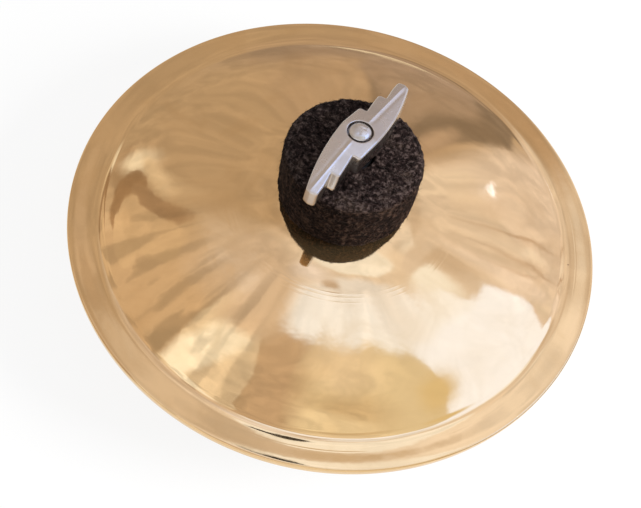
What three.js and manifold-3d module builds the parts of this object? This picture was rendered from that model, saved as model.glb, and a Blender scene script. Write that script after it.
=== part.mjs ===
// Bell cymbal, six inches across, on the threaded rod that carries it above a cymbal stand.
// Millimetres, +Z up. The origin is the middle of the coupling's lower end, where the stand's
// stud goes in, and the rod's axis is Z.
import * as THREE from 'three';
import { mergeVertices } from 'three/addons/utils/BufferGeometryUtils.js';
import Module from 'manifold-3d';

const wasm = await Module();
wasm.setup();

// Driving dimensions: the cymbal
const CYMBAL_DIAMETER = 152.4;
const CYMBAL_RISE = 16.2;
const CYMBAL_WALL = 2.6;
const CYMBAL_HOLE = 12.7;
const CYMBAL_EDGE_CHAMFER = 0.5;
const CROWN_RADIUS = 120;
const CROWN_SLOPE = 15;
const CROWN_HANDLE = 20;
const SHOULDER_DIAMETER = 132;
const SHOULDER_SLOPE = 25;
const SHOULDER_HANDLE = 10;
const FLANGE_WIDTH = 6.2;
const FLANGE_SLOPE = 3.5;

// Driving dimensions: the felts
const UPPER_FELT_DIAMETER = 37.7;
const UPPER_FELT_THICKNESS = 18.5;
const LOWER_FELT_THICKNESS = 9;
const FELT_BORE_CLEARANCE = 0.5;
const UPPER_FELT_ROUND = 2.2;
const LOWER_FELT_ROUND = 1.4;
const FELT_GAP = 0.3;

// Driving dimensions: the rod and what is clamped on it
const ROD_DIAMETER = 6;
const ROD_PROUD = 0.5;
const ROD_DOME = 0.35;
const ROD_CHAMFER = 0.6;
const ROD_ENGAGEMENT = 11.5;
const THREAD_CLEARANCE = 0.1;
const SLEEVE_BORE_CLEARANCE = 0.35;
const SLEEVE_WALL = 1.6;
const SLEEVE_FLANGE_DIAMETER = 15;
const SLEEVE_FLANGE_THICKNESS = 1;
const SLEEVE_END_GAP = 1.5;
const CUP_DIAMETER = 35;
const CUP_THICKNESS = 1.2;
const CUP_LIP_RISE = 3;
const CUP_CLEARANCE = 0.3;

// Driving dimensions: the nuts, the washer and the coupling
const JAM_NUT_FLATS = 10;
const JAM_NUT_HEIGHT = 5;
const COUPLING_FLATS = 13;
const COUPLING_LENGTH = 24;
const SOCKET_DIAMETER = 8.1;
const SOCKET_DEPTH = 12;
const HEX_SIDES = 6;
const HEX_CHAMFER = 0.7;
const HEX_CHAMFER_ANGLE = 30;
const WASHER_DIAMETER = 9.8;
const WASHER_THICKNESS = 0.8;
const WASHER_RUNNING_GAP = 0.1;

// Driving dimensions: the wing nut, whose outline is the same after half a turn
const NUT_HEIGHT = 8;
const NUT_BOSS_DIAMETER = 9.6;
const NUT_BOSS_HEIGHT = 1;
const NUT_SPAN = 44.8;
const NUT_HUB_WIDTH = 10.9;
const NUT_TIP_SMOOTH_SIDE = 1.2;
const NUT_TIP_STEPPED_SIDE = 2.2;
const NUT_TIP_NOSE = 0.6;
const NUT_FLAT_LENGTH = 7.4;
const NUT_RIDGE_FALL = 7;
const NUT_FACET_FALL = 6;
const NUT_COUNTERBORE = 7;
const NUT_COUNTERBORE_DEPTH = 4;
const NUT_HEADING = 67.2;

// Driving dimensions: the two short feathers of a wing, from the hub outwards. Each ends at its
// reach from the axis, with its edge and the notch behind it so far off the wing's middle, and
// its end face leans out by so much from the top to the bottom.
const SHORT_FEATHERS = [
  { reach: 7.2, edge: 4.8, notch: 2.7, lean: 0.4 },
  { reach: 14.8, edge: 3.6, notch: 1.3, lean: 1.4 },
];
const TIP_LEAN = 0.6;

// How finely round shapes are divided, how far a cutter runs past what it cuts, and how close
// two corners lie when they are one
const RIM_SIDES = 72;
const FELT_SIDES = 48;
const SMALL_SIDES = 36;
const CURVE_STEPS = 7;
const ARC_STEPS = 3;
const CUT_OVERRUN = 1;
const MERGE_DISTANCE = 0.0001;

const radians = THREE.MathUtils.degToRad;
const point = (x, y) => new THREE.Vector2(x, y);
const aim = (angle, length) => point(length * Math.cos(angle), length * Math.sin(angle));

// Heights of the stack on the rod, from the coupling's lower end upwards
const jamNutBase = COUPLING_LENGTH;
const cupBase = jamNutBase + JAM_NUT_HEIGHT;
const cupTop = cupBase + CUP_THICKNESS;
const lowerFeltBase = cupTop + FELT_GAP;
const lowerFeltTop = lowerFeltBase + LOWER_FELT_THICKNESS;
const cymbalHoleUnderside = lowerFeltTop + FELT_GAP;

// Radii of the cymbal and of the things on the rod
const rimRadius = CYMBAL_DIAMETER / 2;
const rodRadius = ROD_DIAMETER / 2;
const threadRadius = rodRadius + THREAD_CLEARANCE;
const sleeveInner = rodRadius + SLEEVE_BORE_CLEARANCE;
const sleeveOuter = sleeveInner + SLEEVE_WALL;
const feltBore = sleeveOuter + FELT_BORE_CLEARANCE;

// The cup washer's lip holds the lower felt all round.
const cupOuter = CUP_DIAMETER / 2;
const cupInner = cupOuter - CUP_THICKNESS;
const lowerFeltRadius = cupInner - CUP_CLEARANCE;

// The cymbal's outer surface, as points from the hole's edge out to the rim, measured down from
// the crown: a round crown, a flank that steepens to the shoulder, a hollow fillet and a flange.
function cymbalOuterProfile() {
  const flangeInner = rimRadius - FLANGE_WIDTH;
  const shoulder = SHOULDER_DIAMETER / 2;
  const crownSlope = radians(CROWN_SLOPE);
  const shoulderSlope = radians(SHOULDER_SLOPE);
  const flangeSlope = radians(FLANGE_SLOPE);
  const filletRadius = (flangeInner - shoulder) / (Math.sin(shoulderSlope) - Math.sin(flangeSlope));
  const filletDrop = filletRadius * (Math.cos(flangeSlope) - Math.cos(shoulderSlope));
  const flangeDrop = FLANGE_WIDTH * Math.tan(flangeSlope);
  const crownEdge = CROWN_RADIUS * Math.sin(crownSlope);
  const crownDrop = CROWN_RADIUS * (1 - Math.cos(crownSlope));
  const shoulderDrop = CYMBAL_RISE - filletDrop - flangeDrop;

  const holeAngle = Math.asin(CYMBAL_HOLE / 2 / CROWN_RADIUS);
  const crown = [];
  for (let i = 0; i <= CURVE_STEPS; i++) {
    const angle = THREE.MathUtils.lerp(holeAngle, crownSlope, i / CURVE_STEPS);
    crown.push(point(CROWN_RADIUS * Math.sin(angle), CROWN_RADIUS * (Math.cos(angle) - 1)));
  }
  const crownAim = aim(-crownSlope, CROWN_HANDLE);
  const shoulderAim = aim(-shoulderSlope, SHOULDER_HANDLE);
  const flank = new THREE.CubicBezierCurve(
    point(crownEdge, -crownDrop),
    point(crownEdge, -crownDrop).add(crownAim),
    point(shoulder, -shoulderDrop).sub(shoulderAim),
    point(shoulder, -shoulderDrop),
  ).getPoints(CURVE_STEPS).slice(1);
  const fillet = [];
  for (let i = 1; i <= ARC_STEPS; i++) {
    const angle = THREE.MathUtils.lerp(shoulderSlope, flangeSlope, i / ARC_STEPS);
    fillet.push(point(
      shoulder + filletRadius * (Math.sin(shoulderSlope) - Math.sin(angle)),
      -shoulderDrop - filletRadius * (Math.cos(angle) - Math.cos(shoulderSlope)),
    ));
  }
  const flangeEdge = point(
    rimRadius - CYMBAL_EDGE_CHAMFER,
    -CYMBAL_RISE + CYMBAL_EDGE_CHAMFER * Math.tan(flangeSlope),
  );
  return [...crown, ...flank, ...fillet, flangeEdge];
}

// The underside is the outer surface moved down so that the wall, square to it, stays even.
function cymbalInnerProfile(outer) {
  return outer.map((here, i) => {
    const before = outer[Math.max(i - 1, 0)];
    const after = outer[Math.min(i + 1, outer.length - 1)];
    const run = after.x - before.x;
    const fall = before.y - after.y;
    return point(here.x, here.y - CYMBAL_WALL * Math.hypot(run, fall) / run);
  });
}

const outerProfile = cymbalOuterProfile();
const innerProfile = cymbalInnerProfile(outerProfile);
const crownHeight = cymbalHoleUnderside - innerProfile[0].y;
const upperFeltBase = crownHeight + outerProfile[0].y + FELT_GAP;
const upperFeltTop = upperFeltBase + UPPER_FELT_THICKNESS;
const washerBase = upperFeltTop + FELT_GAP;
const nutBase = washerBase + WASHER_THICKNESS + WASHER_RUNNING_GAP;
const nutTop = nutBase + NUT_HEIGHT;
const rodBase = COUPLING_LENGTH - ROD_ENGAGEMENT;
const rodTop = nutTop + ROD_PROUD;

// Height of the cymbal's underside at a radius, between the points of its profile.
function undersideHeight(radius) {
  const next = innerProfile.findIndex((p) => p.x > radius);
  if (next < 1) return cymbalHoleUnderside;
  const before = innerProfile[next - 1];
  const after = innerProfile[next];
  const share = (radius - before.x) / (after.x - before.x);
  return crownHeight + THREE.MathUtils.lerp(before.y, after.y, share);
}

// Turns a closed outline, given anticlockwise as (radius, height), round the Z axis.
function revolve(outline, sides = SMALL_SIDES) {
  const closed = [...outline, outline[0].clone()];
  const geometry = new THREE.LatheGeometry(closed, sides);
  return geometry.rotateX(Math.PI / 2);
}

// A solid for joining and cutting, from a closed geometry whose faces point out.
function solid(geometry) {
  const bare = geometry.clone();
  bare.deleteAttribute('normal');
  bare.deleteAttribute('uv');
  const merged = mergeVertices(bare, MERGE_DISTANCE);
  const mesh = new wasm.Mesh({
    numProp: 3,
    vertProperties: new Float32Array(merged.attributes.position.array),
    triVerts: new Uint32Array(merged.index.array),
  });
  return new wasm.Manifold(mesh);
}

function geometryOf(manifold) {
  const mesh = manifold.getMesh();
  const geometry = new THREE.BufferGeometry();
  geometry.setAttribute('position', new THREE.BufferAttribute(mesh.vertProperties, 3));
  geometry.setIndex(new THREE.BufferAttribute(mesh.triVerts, 1));
  geometry.computeVertexNormals();
  return geometry;
}

// A plain round bar between two heights, for cutting bores.
function bar(radius, base, top) {
  const length = top - base;
  const geometry = new THREE.CylinderGeometry(radius, radius, length, SMALL_SIDES);
  return geometry.rotateX(Math.PI / 2).translate(0, 0, base + length / 2);
}

function bellCymbal() {
  const lift = (p) => point(p.x, p.y + crownHeight);
  const outer = outerProfile.map(lift);
  const inner = innerProfile.map(lift);
  const edgeTop = point(rimRadius, outer.at(-1).y - CYMBAL_EDGE_CHAMFER);
  const edgeBase = point(rimRadius, inner.at(-1).y + CYMBAL_EDGE_CHAMFER);
  return revolve([...inner, edgeBase, edgeTop, ...outer.reverse()], RIM_SIDES);
}

// A felt disc with soft edges, round what is left free in its middle. Its top may follow the
// cymbal, in the given number of steps.
function feltOutline(radius, round, base, topAt, mouth, topSteps = 1) {
  const outline = [...mouth, point(radius - round, base)];
  for (let i = 1; i <= ARC_STEPS; i++) {
    const angle = (i / ARC_STEPS) * Math.PI / 2;
    outline.push(point(radius - round + round * Math.sin(angle), base + round * (1 - Math.cos(angle))));
  }
  for (let i = 0; i <= ARC_STEPS; i++) {
    const angle = (i / ARC_STEPS) * Math.PI / 2;
    const across = radius - round + round * Math.cos(angle);
    outline.push(point(across, topAt(across) - round * (1 - Math.sin(angle))));
  }
  for (let i = 1; i <= topSteps; i++) {
    const across = THREE.MathUtils.lerp(radius - round, feltBore, i / topSteps);
    outline.push(point(across, topAt(across)));
  }
  return outline;
}

function upperFelt() {
  const mouth = [point(feltBore, upperFeltBase)];
  const topAt = () => upperFeltTop;
  const radius = UPPER_FELT_DIAMETER / 2;
  const outline = feltOutline(radius, UPPER_FELT_ROUND, upperFeltBase, topAt, mouth);
  return revolve(outline, FELT_SIDES);
}

// The lower felt is pressed hollow where the sleeve's flange sits in it.
function lowerFelt() {
  const topAt = (radius) => undersideHeight(radius) - FELT_GAP;
  const hollowRadius = SLEEVE_FLANGE_DIAMETER / 2 + FELT_GAP;
  const hollowTop = cupTop + SLEEVE_FLANGE_THICKNESS + FELT_GAP;
  const mouth = [
    point(feltBore, hollowTop), point(hollowRadius, hollowTop), point(hollowRadius, lowerFeltBase),
  ];
  const round = LOWER_FELT_ROUND;
  const outline = feltOutline(lowerFeltRadius, round, lowerFeltBase, topAt, mouth, ARC_STEPS);
  return revolve(outline, FELT_SIDES);
}

// The rod, chamfered at its lower end and slightly domed at the end that shows in the nut.
function mountRod() {
  const outline = [
    point(0, rodBase), point(rodRadius - ROD_CHAMFER, rodBase), point(rodRadius, rodBase + ROD_CHAMFER),
    point(rodRadius, rodTop - ROD_CHAMFER),
  ];
  for (let i = 0; i <= ARC_STEPS; i++) {
    const across = THREE.MathUtils.lerp(rodRadius - ROD_CHAMFER, 0, i / ARC_STEPS);
    const share = across / (rodRadius - ROD_CHAMFER);
    outline.push(point(across, rodTop - ROD_DOME * share * share));
  }
  return new THREE.LatheGeometry(outline, SMALL_SIDES).rotateX(Math.PI / 2);
}

// The sleeve stands on the cup washer by its flange and ends inside the upper felt.
function holeSleeve() {
  const flangeTop = cupTop + SLEEVE_FLANGE_THICKNESS;
  return revolve([
    point(sleeveInner, cupTop), point(SLEEVE_FLANGE_DIAMETER / 2, cupTop),
    point(SLEEVE_FLANGE_DIAMETER / 2, flangeTop), point(sleeveOuter, flangeTop),
    point(sleeveOuter, upperFeltTop - SLEEVE_END_GAP), point(sleeveInner, upperFeltTop - SLEEVE_END_GAP),
  ]);
}

// A pressed cup: a flat floor whose lip turns up round the lower felt.
function cupWasher() {
  const lipTop = cupTop + CUP_LIP_RISE;
  const outline = [point(threadRadius, cupBase)];
  for (let i = 0; i <= ARC_STEPS; i++) {
    const angle = (i / ARC_STEPS) * Math.PI / 2;
    const across = cupInner + CUP_THICKNESS * Math.sin(angle);
    outline.push(point(across, cupBase + CUP_THICKNESS * (1 - Math.cos(angle))));
  }
  outline.push(point(cupOuter, lipTop), point(cupInner, lipTop), point(cupInner, cupTop));
  outline.push(point(threadRadius, cupTop));
  return revolve(outline);
}

// A hexagonal bar between two heights, its corners chamfered at both ends.
function hexagon(flats, base, top) {
  const corner = flats / Math.sqrt(3);
  const length = top - base;
  const prism = new THREE.CylinderGeometry(corner, corner, length, HEX_SIDES);
  prism.rotateX(Math.PI / 2).translate(0, 0, base + length / 2);
  const trim = corner - HEX_CHAMFER;
  const beyond = corner + CUT_OVERRUN;
  const drop = (beyond - trim) * Math.tan(radians(HEX_CHAMFER_ANGLE));
  const envelope = new THREE.LatheGeometry([
    point(0, base), point(trim, base), point(beyond, base + drop),
    point(beyond, top - drop), point(trim, top), point(0, top),
  ], SMALL_SIDES).rotateX(Math.PI / 2);
  return solid(prism).intersect(solid(envelope));
}

function jamNut() {
  const blank = hexagon(JAM_NUT_FLATS, jamNutBase, cupBase);
  const bore = solid(bar(threadRadius, jamNutBase - CUT_OVERRUN, cupBase + CUT_OVERRUN));
  return geometryOf(blank.subtract(bore));
}

// The coupling has the rod's thread above and a wider socket for the stand's stud below.
function standCoupling() {
  const blank = hexagon(COUPLING_FLATS, 0, COUPLING_LENGTH);
  const rodBore = solid(bar(threadRadius, SOCKET_DEPTH - CUT_OVERRUN, COUPLING_LENGTH + CUT_OVERRUN));
  const socket = solid(bar(SOCKET_DIAMETER / 2, -CUT_OVERRUN, SOCKET_DEPTH));
  return geometryOf(blank.subtract(rodBore).subtract(socket));
}

function nutWasher() {
  const outer = WASHER_DIAMETER / 2;
  const top = washerBase + WASHER_THICKNESS;
  return revolve([
    point(threadRadius, washerBase), point(outer, washerBase), point(outer, top), point(threadRadius, top),
  ]);
}

// Half a turn of the wing nut's outline, anticlockwise: the smooth side of one wing, which draws
// in along an arc to the tip, and its stepped side back to the hub, one step for each feather.
// The lean moves the end faces outwards, from none at the top to all of it at the bottom.
function wingOutline(leanShare) {
  const half = NUT_SPAN / 2;
  const outline = [];
  for (let i = 0; i <= CURVE_STEPS; i++) {
    const share = i / CURVE_STEPS;
    const across = THREE.MathUtils.lerp(NUT_HUB_WIDTH / 2, NUT_TIP_SMOOTH_SIDE, share * share);
    outline.push(point(half * share, -across));
  }
  const tip = half + TIP_LEAN * leanShare;
  const noseAcross = (NUT_TIP_STEPPED_SIDE - NUT_TIP_SMOOTH_SIDE) / 2;
  outline.at(-1).x = tip;
  outline.push(point(tip + NUT_TIP_NOSE, noseAcross), point(tip, NUT_TIP_STEPPED_SIDE));
  for (const { reach, edge, notch, lean } of [...SHORT_FEATHERS].reverse()) {
    const end = reach + lean * leanShare;
    outline.push(point(end, notch), point(end, edge));
  }
  return outline;
}

// The upright body of both wings: two like outlines, one above the other, joined by walls.
function wingsBody(base, top) {
  const bothWings = (leanShare) => {
    const wing = wingOutline(leanShare);
    return [...wing, ...wing.map((p) => point(-p.x, -p.y))];
  };
  const low = bothWings(1);
  const high = bothWings(0);
  const count = low.length;
  const positions = [
    ...low.flatMap((p) => [p.x, p.y, base]),
    ...high.flatMap((p) => [p.x, p.y, top]),
  ];
  const index = [];
  for (const [a, b, c] of THREE.ShapeUtils.triangulateShape(low, [])) index.push(a, c, b);
  for (const face of THREE.ShapeUtils.triangulateShape(high, [])) {
    index.push(...face.map((corner) => count + corner));
  }
  for (let i = 0; i < count; i++) {
    const next = (i + 1) % count;
    index.push(i, next, count + next, i, count + next, count + i);
  }
  const geometry = new THREE.BufferGeometry();
  geometry.setAttribute('position', new THREE.Float32BufferAttribute(positions, 3));
  geometry.setIndex(index);
  return geometry;
}

// What is cut off above one facet of a wing. The facet falls from the ridge towards the tip and
// to one side, and starts where the hub's flat top ends.
function aboveFacet(turn, side) {
  const size = NUT_SPAN + NUT_HEIGHT;
  const cutter = new THREE.BoxGeometry(size, size, NUT_HEIGHT).translate(0, 0, NUT_HEIGHT / 2);
  cutter.rotateX(-side * radians(NUT_FACET_FALL)).rotateY(radians(NUT_RIDGE_FALL));
  return cutter.translate(NUT_FLAT_LENGTH / 2, 0, nutTop).rotateZ(turn);
}

// The wing nut: a round boss below, a flat hub, and two wings whose tops are ridged.
function wingNut() {
  const wingBase = nutBase + NUT_BOSS_HEIGHT;
  const bossTop = wingBase + NUT_BOSS_HEIGHT;
  let body = solid(wingsBody(wingBase, nutTop));
  for (const turn of [0, Math.PI]) {
    for (const side of [1, -1]) body = body.subtract(solid(aboveFacet(turn, side)));
  }
  const bossRadius = NUT_BOSS_DIAMETER / 2;
  body = body.add(solid(bar(bossRadius, nutBase, bossTop)));
  const bore = bar(threadRadius, nutBase - CUT_OVERRUN, nutTop + CUT_OVERRUN);
  const counterbore = bar(NUT_COUNTERBORE / 2, nutTop - NUT_COUNTERBORE_DEPTH, nutTop + CUT_OVERRUN);
  return geometryOf(body.subtract(solid(bore)).subtract(solid(counterbore)));
}

const bronze = { color: 0xd8ab6a, roughness: 0.12, metalness: 1 };
const felt = { color: 0x332b2b, roughness: 1, metalness: 0 };
const dieCast = { color: 0xb2aaac, roughness: 0.35, metalness: 1 };
const steel = { color: 0xa9abad, roughness: 0.3, metalness: 1 };
const zincSteel = { color: 0xb4b2aa, roughness: 0.4, metalness: 1 };
const nylon = { color: 0x1c1c1e, roughness: 0.5, metalness: 0 };

function named(name, geometry, finish) {
  const mesh = new THREE.Mesh(geometry, new THREE.MeshStandardMaterial(finish));
  mesh.name = name;
  return mesh;
}

const assembly = new THREE.Group();
assembly.add(named('stand_coupling', standCoupling(), zincSteel));
assembly.add(named('jam_nut', jamNut(), zincSteel));
assembly.add(named('mount_rod', mountRod(), steel));
assembly.add(named('cup_washer', cupWasher(), zincSteel));
assembly.add(named('hole_sleeve', holeSleeve(), nylon));
assembly.add(named('lower_felt', lowerFelt(), felt));
assembly.add(named('bell_cymbal', bellCymbal(), bronze));
assembly.add(named('upper_felt', upperFelt(), felt));
assembly.add(named('nut_washer', nutWasher(), steel));
const nut = named('wing_nut', wingNut(), dieCast);
nut.rotation.z = radians(NUT_HEADING);
assembly.add(nut);

export default assembly;
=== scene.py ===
"""A six inch bell cymbal on the rod that carries it, dressed and lit for its picture.

Shapes are worked out in millimetres on the rod's axis, with heights above the coupling's lower
end, and become metres when they are put into a mesh.
"""
import logging
from dataclasses import dataclass
from enum import Enum
from typing import Any

import bpy
import numpy as np
from mathutils import Matrix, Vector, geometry


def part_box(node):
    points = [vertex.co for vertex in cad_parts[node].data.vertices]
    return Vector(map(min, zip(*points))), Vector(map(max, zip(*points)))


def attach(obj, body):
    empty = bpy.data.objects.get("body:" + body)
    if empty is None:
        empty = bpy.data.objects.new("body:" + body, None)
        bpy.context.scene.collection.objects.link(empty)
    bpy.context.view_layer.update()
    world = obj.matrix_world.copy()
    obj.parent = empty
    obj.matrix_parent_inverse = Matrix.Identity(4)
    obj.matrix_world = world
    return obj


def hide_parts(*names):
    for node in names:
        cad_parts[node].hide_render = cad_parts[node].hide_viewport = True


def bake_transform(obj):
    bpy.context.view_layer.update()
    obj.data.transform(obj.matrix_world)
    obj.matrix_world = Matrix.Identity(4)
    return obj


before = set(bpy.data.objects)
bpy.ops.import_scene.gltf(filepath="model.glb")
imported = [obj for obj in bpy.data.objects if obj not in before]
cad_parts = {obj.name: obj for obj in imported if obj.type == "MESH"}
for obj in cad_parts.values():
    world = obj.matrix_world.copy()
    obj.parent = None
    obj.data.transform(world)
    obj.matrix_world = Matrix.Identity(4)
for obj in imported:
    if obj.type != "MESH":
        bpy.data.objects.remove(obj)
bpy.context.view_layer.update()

log = logging.getLogger("bell_cymbal")

MM = 0.001
Triple = tuple[float, float, float]
Colour = Triple


class Body(str, Enum):
    """The bodies that pieces ride on."""

    MOUNT = "mount"
    FELTS = "felts"
    CYMBAL = "cymbal"
    NUT_CARRIER = "nut_carrier"
    NUT = "nut"


class Slot(str, Enum):
    """The record's material slots."""

    BRONZE = "polished_bronze"
    FELT = "charcoal_felt"
    DIE_CAST = "satin_die_cast"
    STEEL = "bright_steel"
    ZINC = "zinc_steel"
    NYLON = "black_nylon"


class Ends(Enum):
    """How the first and last rows of a turned surface are finished."""

    JOINED = "the last row joins the first, as round a washer"
    POLES = "each end row is one point on the axis, as on a rod"


def span(node: str) -> tuple[float, float]:
    """Lowest and highest point of a CAD node.

    Args:
        node: name of the node.

    Returns:
        Both heights in millimetres.
    """
    low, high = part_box(node)
    return low.z / MM, high.z / MM


# Shapes


def unit(vectors: np.ndarray) -> np.ndarray:
    """The same vectors with a length of 1."""
    return vectors / np.maximum(np.linalg.norm(vectors, axis=-1, keepdims=True), 1e-9)


def full_turn(count: int) -> np.ndarray:
    """Angles that share out one turn round the axis."""
    return np.linspace(0, 2 * np.pi, count, endpoint=False)


def around(radius: Any, turn: np.ndarray, height: Any) -> np.ndarray:
    """Points (r cos t, r sin t, h) of distances from the axis, angles and heights."""
    parts = np.broadcast_arrays(radius * np.cos(turn), radius * np.sin(turn), height)
    return np.stack(parts, -1)


def corner_arcs(before: np.ndarray, corner: np.ndarray, after: np.ndarray,
                radius: np.ndarray, steps: int) -> np.ndarray:
    """Rounds corners with arcs that touch both sides of each.

    With a and b the unit vectors to the neighbours and h the half angle between them, the
    centre lies radius / sin h along their bisector, and the points swing evenly round it.

    Args:
        before: points before the corners, (n, 2).
        corner: the corners, (n, 2).
        after: points after the corners, (n, 2).
        radius: radius at each corner, (n,).
        steps: points on each arc.

    Returns:
        The arcs' points, (n, steps, 2).
    """
    a = unit(before - corner)
    b = unit(after - corner)
    bisector = unit(a + b)
    half = np.arccos(np.clip((a * bisector).sum(-1), -1, 1))
    centre = corner + bisector * (radius / np.sin(half))[:, None]
    touch = (radius / np.tan(half))[:, None]
    start = (corner + a * touch - centre)[:, None]
    end = (corner + b * touch - centre)[:, None]
    swing = (np.pi - 2 * half)[:, None]
    share = np.linspace(0, 1, steps)
    from_start = (np.sin((1 - share) * swing) / np.sin(swing))[..., None]
    from_end = (np.sin(share * swing) / np.sin(swing))[..., None]
    return centre[:, None] + from_start * start + from_end * end


def rounded(corners: list[Triple], steps: int = 6) -> np.ndarray:
    """Closed outline whose corners are rounded, each by its own radius.

    Args:
        corners: across, height and radius at each corner.
        steps: points on each corner's arc.

    Returns:
        The outline's points, (n, 2).
    """
    table = np.array(corners, float)
    place = table[:, :2]
    arcs = corner_arcs(np.roll(place, 1, 0), place, np.roll(place, -1, 0), table[:, 2], steps)
    return arcs.reshape(-1, 2)


def refined(outline: np.ndarray, spacing: float) -> np.ndarray:
    """The same closed outline with more points on its long stretches.

    Points are read off at the outline's own lengths and at even lengths together, so that no
    corner is lost.

    Args:
        outline: points, (n, 2).
        spacing: longest step left between points.

    Returns:
        The finer outline, (m, 2).
    """
    path = np.vstack([outline, outline[:1]])
    length = np.concatenate([[0], np.cumsum(np.linalg.norm(np.diff(path, axis=0), axis=1))])
    even = np.linspace(0, length[-1], int(length[-1] / spacing) + 2)
    at = np.unique(np.round(np.concatenate([length, even]), 5))
    at = at[np.concatenate([[True], np.diff(at) > spacing / 20])]
    fine = np.stack([np.interp(at, length, path[:, 0]), np.interp(at, length, path[:, 1])], 1)
    return fine[:-1]


def within(points: np.ndarray, outline: np.ndarray) -> tuple[np.ndarray, np.ndarray]:
    """Tests points against a closed outline.

    A point is inside when a ray to its right crosses an odd number of edges, and its distance
    is the least to any edge.

    Args:
        points: the points, (n, 2).
        outline: the outline's corners, (m, 2).

    Returns:
        Whether each point is inside, and its distance from the outline.
    """
    start, edge = outline, np.roll(outline, -1, 0) - outline
    off = points[:, None] - start
    share = np.clip((off * edge).sum(-1) / (edge ** 2).sum(-1), 0, 1)
    distance = np.linalg.norm(off - share[..., None] * edge, axis=-1).min(1)
    end = start + edge
    spans = (start[:, 1] > points[:, 1:]) != (end[:, 1] > points[:, 1:])
    rise = np.where(edge[:, 1] == 0, 1, edge[:, 1])
    crossing = start[:, 0] + edge[:, 0] * off[..., 1] / rise
    return (spans & (crossing > points[:, :1])).sum(1) % 2 == 1, distance


def filled(outer: np.ndarray, hole: np.ndarray,
           lattice: np.ndarray) -> tuple[np.ndarray, np.ndarray]:
    """Covers the region between an outline and a hole in it with triangles.

    The lattice's points that lie inside are joined with both outlines by Delaunay's rule.

    Args:
        outer: the outline, (n, 2).
        hole: the hole's outline, (m, 2).
        lattice: points to choose from, (k, 2).

    Returns:
        The lattice points used, and triangles that number the outline's points first, then
        the hole's, then those.
    """
    margin = 0.12
    in_outer, from_outer = within(lattice, outer)
    in_hole, from_hole = within(lattice, hole)
    kept = in_outer & ~in_hole & (np.minimum(from_outer, from_hole) > margin)
    inner = lattice[kept]
    points = np.vstack([outer, hole, inner])
    count, second = len(outer), len(hole)
    loops = [(i, (i + 1) % count) for i in range(count)]
    loops += [(count + i, count + (i + 1) % second) for i in range(second)]
    made = geometry.delaunay_2d_cdt([tuple(place) for place in points.tolist()], loops, [], 0, 1e-7)
    number = np.array([ids[0] for ids in made[3]])
    faces = number[np.array(made[2])]
    middle = points[faces].mean(1)
    used = within(middle, outer)[0] & ~within(middle, hole)[0]
    return inner, faces[used]


def turned(outline: np.ndarray, columns: int) -> np.ndarray:
    """Carries an outline of (radius, height) round the axis.

    Args:
        outline: points, (rows, 2), anticlockwise.
        columns: steps round the axis.

    Returns:
        Grid of points, (rows, columns, 3).
    """
    return around(outline[:, :1], full_turn(columns), outline[:, 1:])


def grid_normals(grid: np.ndarray) -> np.ndarray:
    """Outward normals of a grid that closes both ways.

    Each is the cross product of the steps along its row and its column.

    Args:
        grid: points, (rows, columns, 3).

    Returns:
        Unit normals of the same shape.
    """
    across = np.roll(grid, -1, 1) - np.roll(grid, 1, 1)
    along = np.roll(grid, -1, 0) - np.roll(grid, 1, 0)
    return unit(np.cross(across, along))


def soft_noise(shape: tuple[int, int], cells: tuple[float, float],
               random: np.random.Generator) -> np.ndarray:
    """Smooth random field that repeats without a seam in both directions.

    White noise has its quick changes faded out by a bell curve in its spectrum.

    Args:
        shape: rows and columns of the field.
        cells: how many humps fit along and across it.
        random: seeded source of the noise.

    Returns:
        Field with a mean of 0 and a deviation of 1.
    """
    spectrum = np.fft.fft2(random.standard_normal(shape))
    along = np.fft.fftfreq(shape[0], 1 / shape[0])[:, None] / cells[0]
    across = np.fft.fftfreq(shape[1], 1 / shape[1])[None, :] / cells[1]
    field = np.fft.ifft2(spectrum * np.exp(-(along ** 2 + across ** 2))).real
    field = field - field.mean()
    return field / field.std()


def grid_object(name: str, grid: np.ndarray, ends: Ends = Ends.JOINED,
                crisp: float | None = None) -> bpy.types.Object:
    """Makes an object from a grid of points that closes round its columns.

    Each face joins points (i, j), (i, j + 1), (i + 1, j + 1) and (i + 1, j).

    Args:
        name: the piece's name.
        grid: points in millimetres, (rows, columns, 3), anticlockwise both ways.
        ends: how the first and last rows are finished.
        crisp: angle in degrees above which an edge is left sharp.

    Returns:
        The object, at the origin.
    """
    rows, columns = grid.shape[:2]
    column = np.arange(columns)
    following = (column + 1) % columns
    if ends is Ends.JOINED:
        row = np.arange(rows)[:, None] * columns
        above = (np.arange(rows)[:, None] + 1) % rows * columns
        points = grid.reshape(-1, 3)
        caps: list[list[int]] = []
    else:
        row = np.arange(rows - 3)[:, None] * columns
        above = row + columns
        points = np.vstack([grid[1:-1].reshape(-1, 3), grid[:1, 0], grid[-1:, 0]])
        last = (rows - 3) * columns
        low_pole, high_pole = len(points) - 2, len(points) - 1
        low = np.stack([np.full(columns, low_pole), following, column], 1)
        high = np.stack([last + column, last + following, np.full(columns, high_pole)], 1)
        caps = np.vstack([low, high]).tolist()
    quads = np.stack([row + column, row + following, above + following, above + column], -1)
    return faces_object(name, points, quads.reshape(-1, 4).tolist() + caps, crisp)


def faces_object(name: str, points: np.ndarray, faces: list[list[int]],
                 crisp: float | None = None) -> bpy.types.Object:
    """Makes an object from points and faces.

    Args:
        name: the piece's name.
        points: millimetres, (n, 3).
        faces: corner numbers of each face.
        crisp: angle in degrees above which an edge is left sharp.

    Returns:
        The object, at the origin.
    """
    mesh = bpy.data.meshes.new(name)
    mesh.from_pydata((points * MM).tolist(), [], faces)
    mesh.polygons.foreach_set("use_smooth", np.ones(len(mesh.polygons), bool))
    if crisp is not None:
        mesh.set_sharp_from_angle(angle=np.radians(crisp))
    piece = bpy.data.objects.new(name, mesh)
    bpy.context.scene.collection.objects.link(piece)
    return piece


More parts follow.
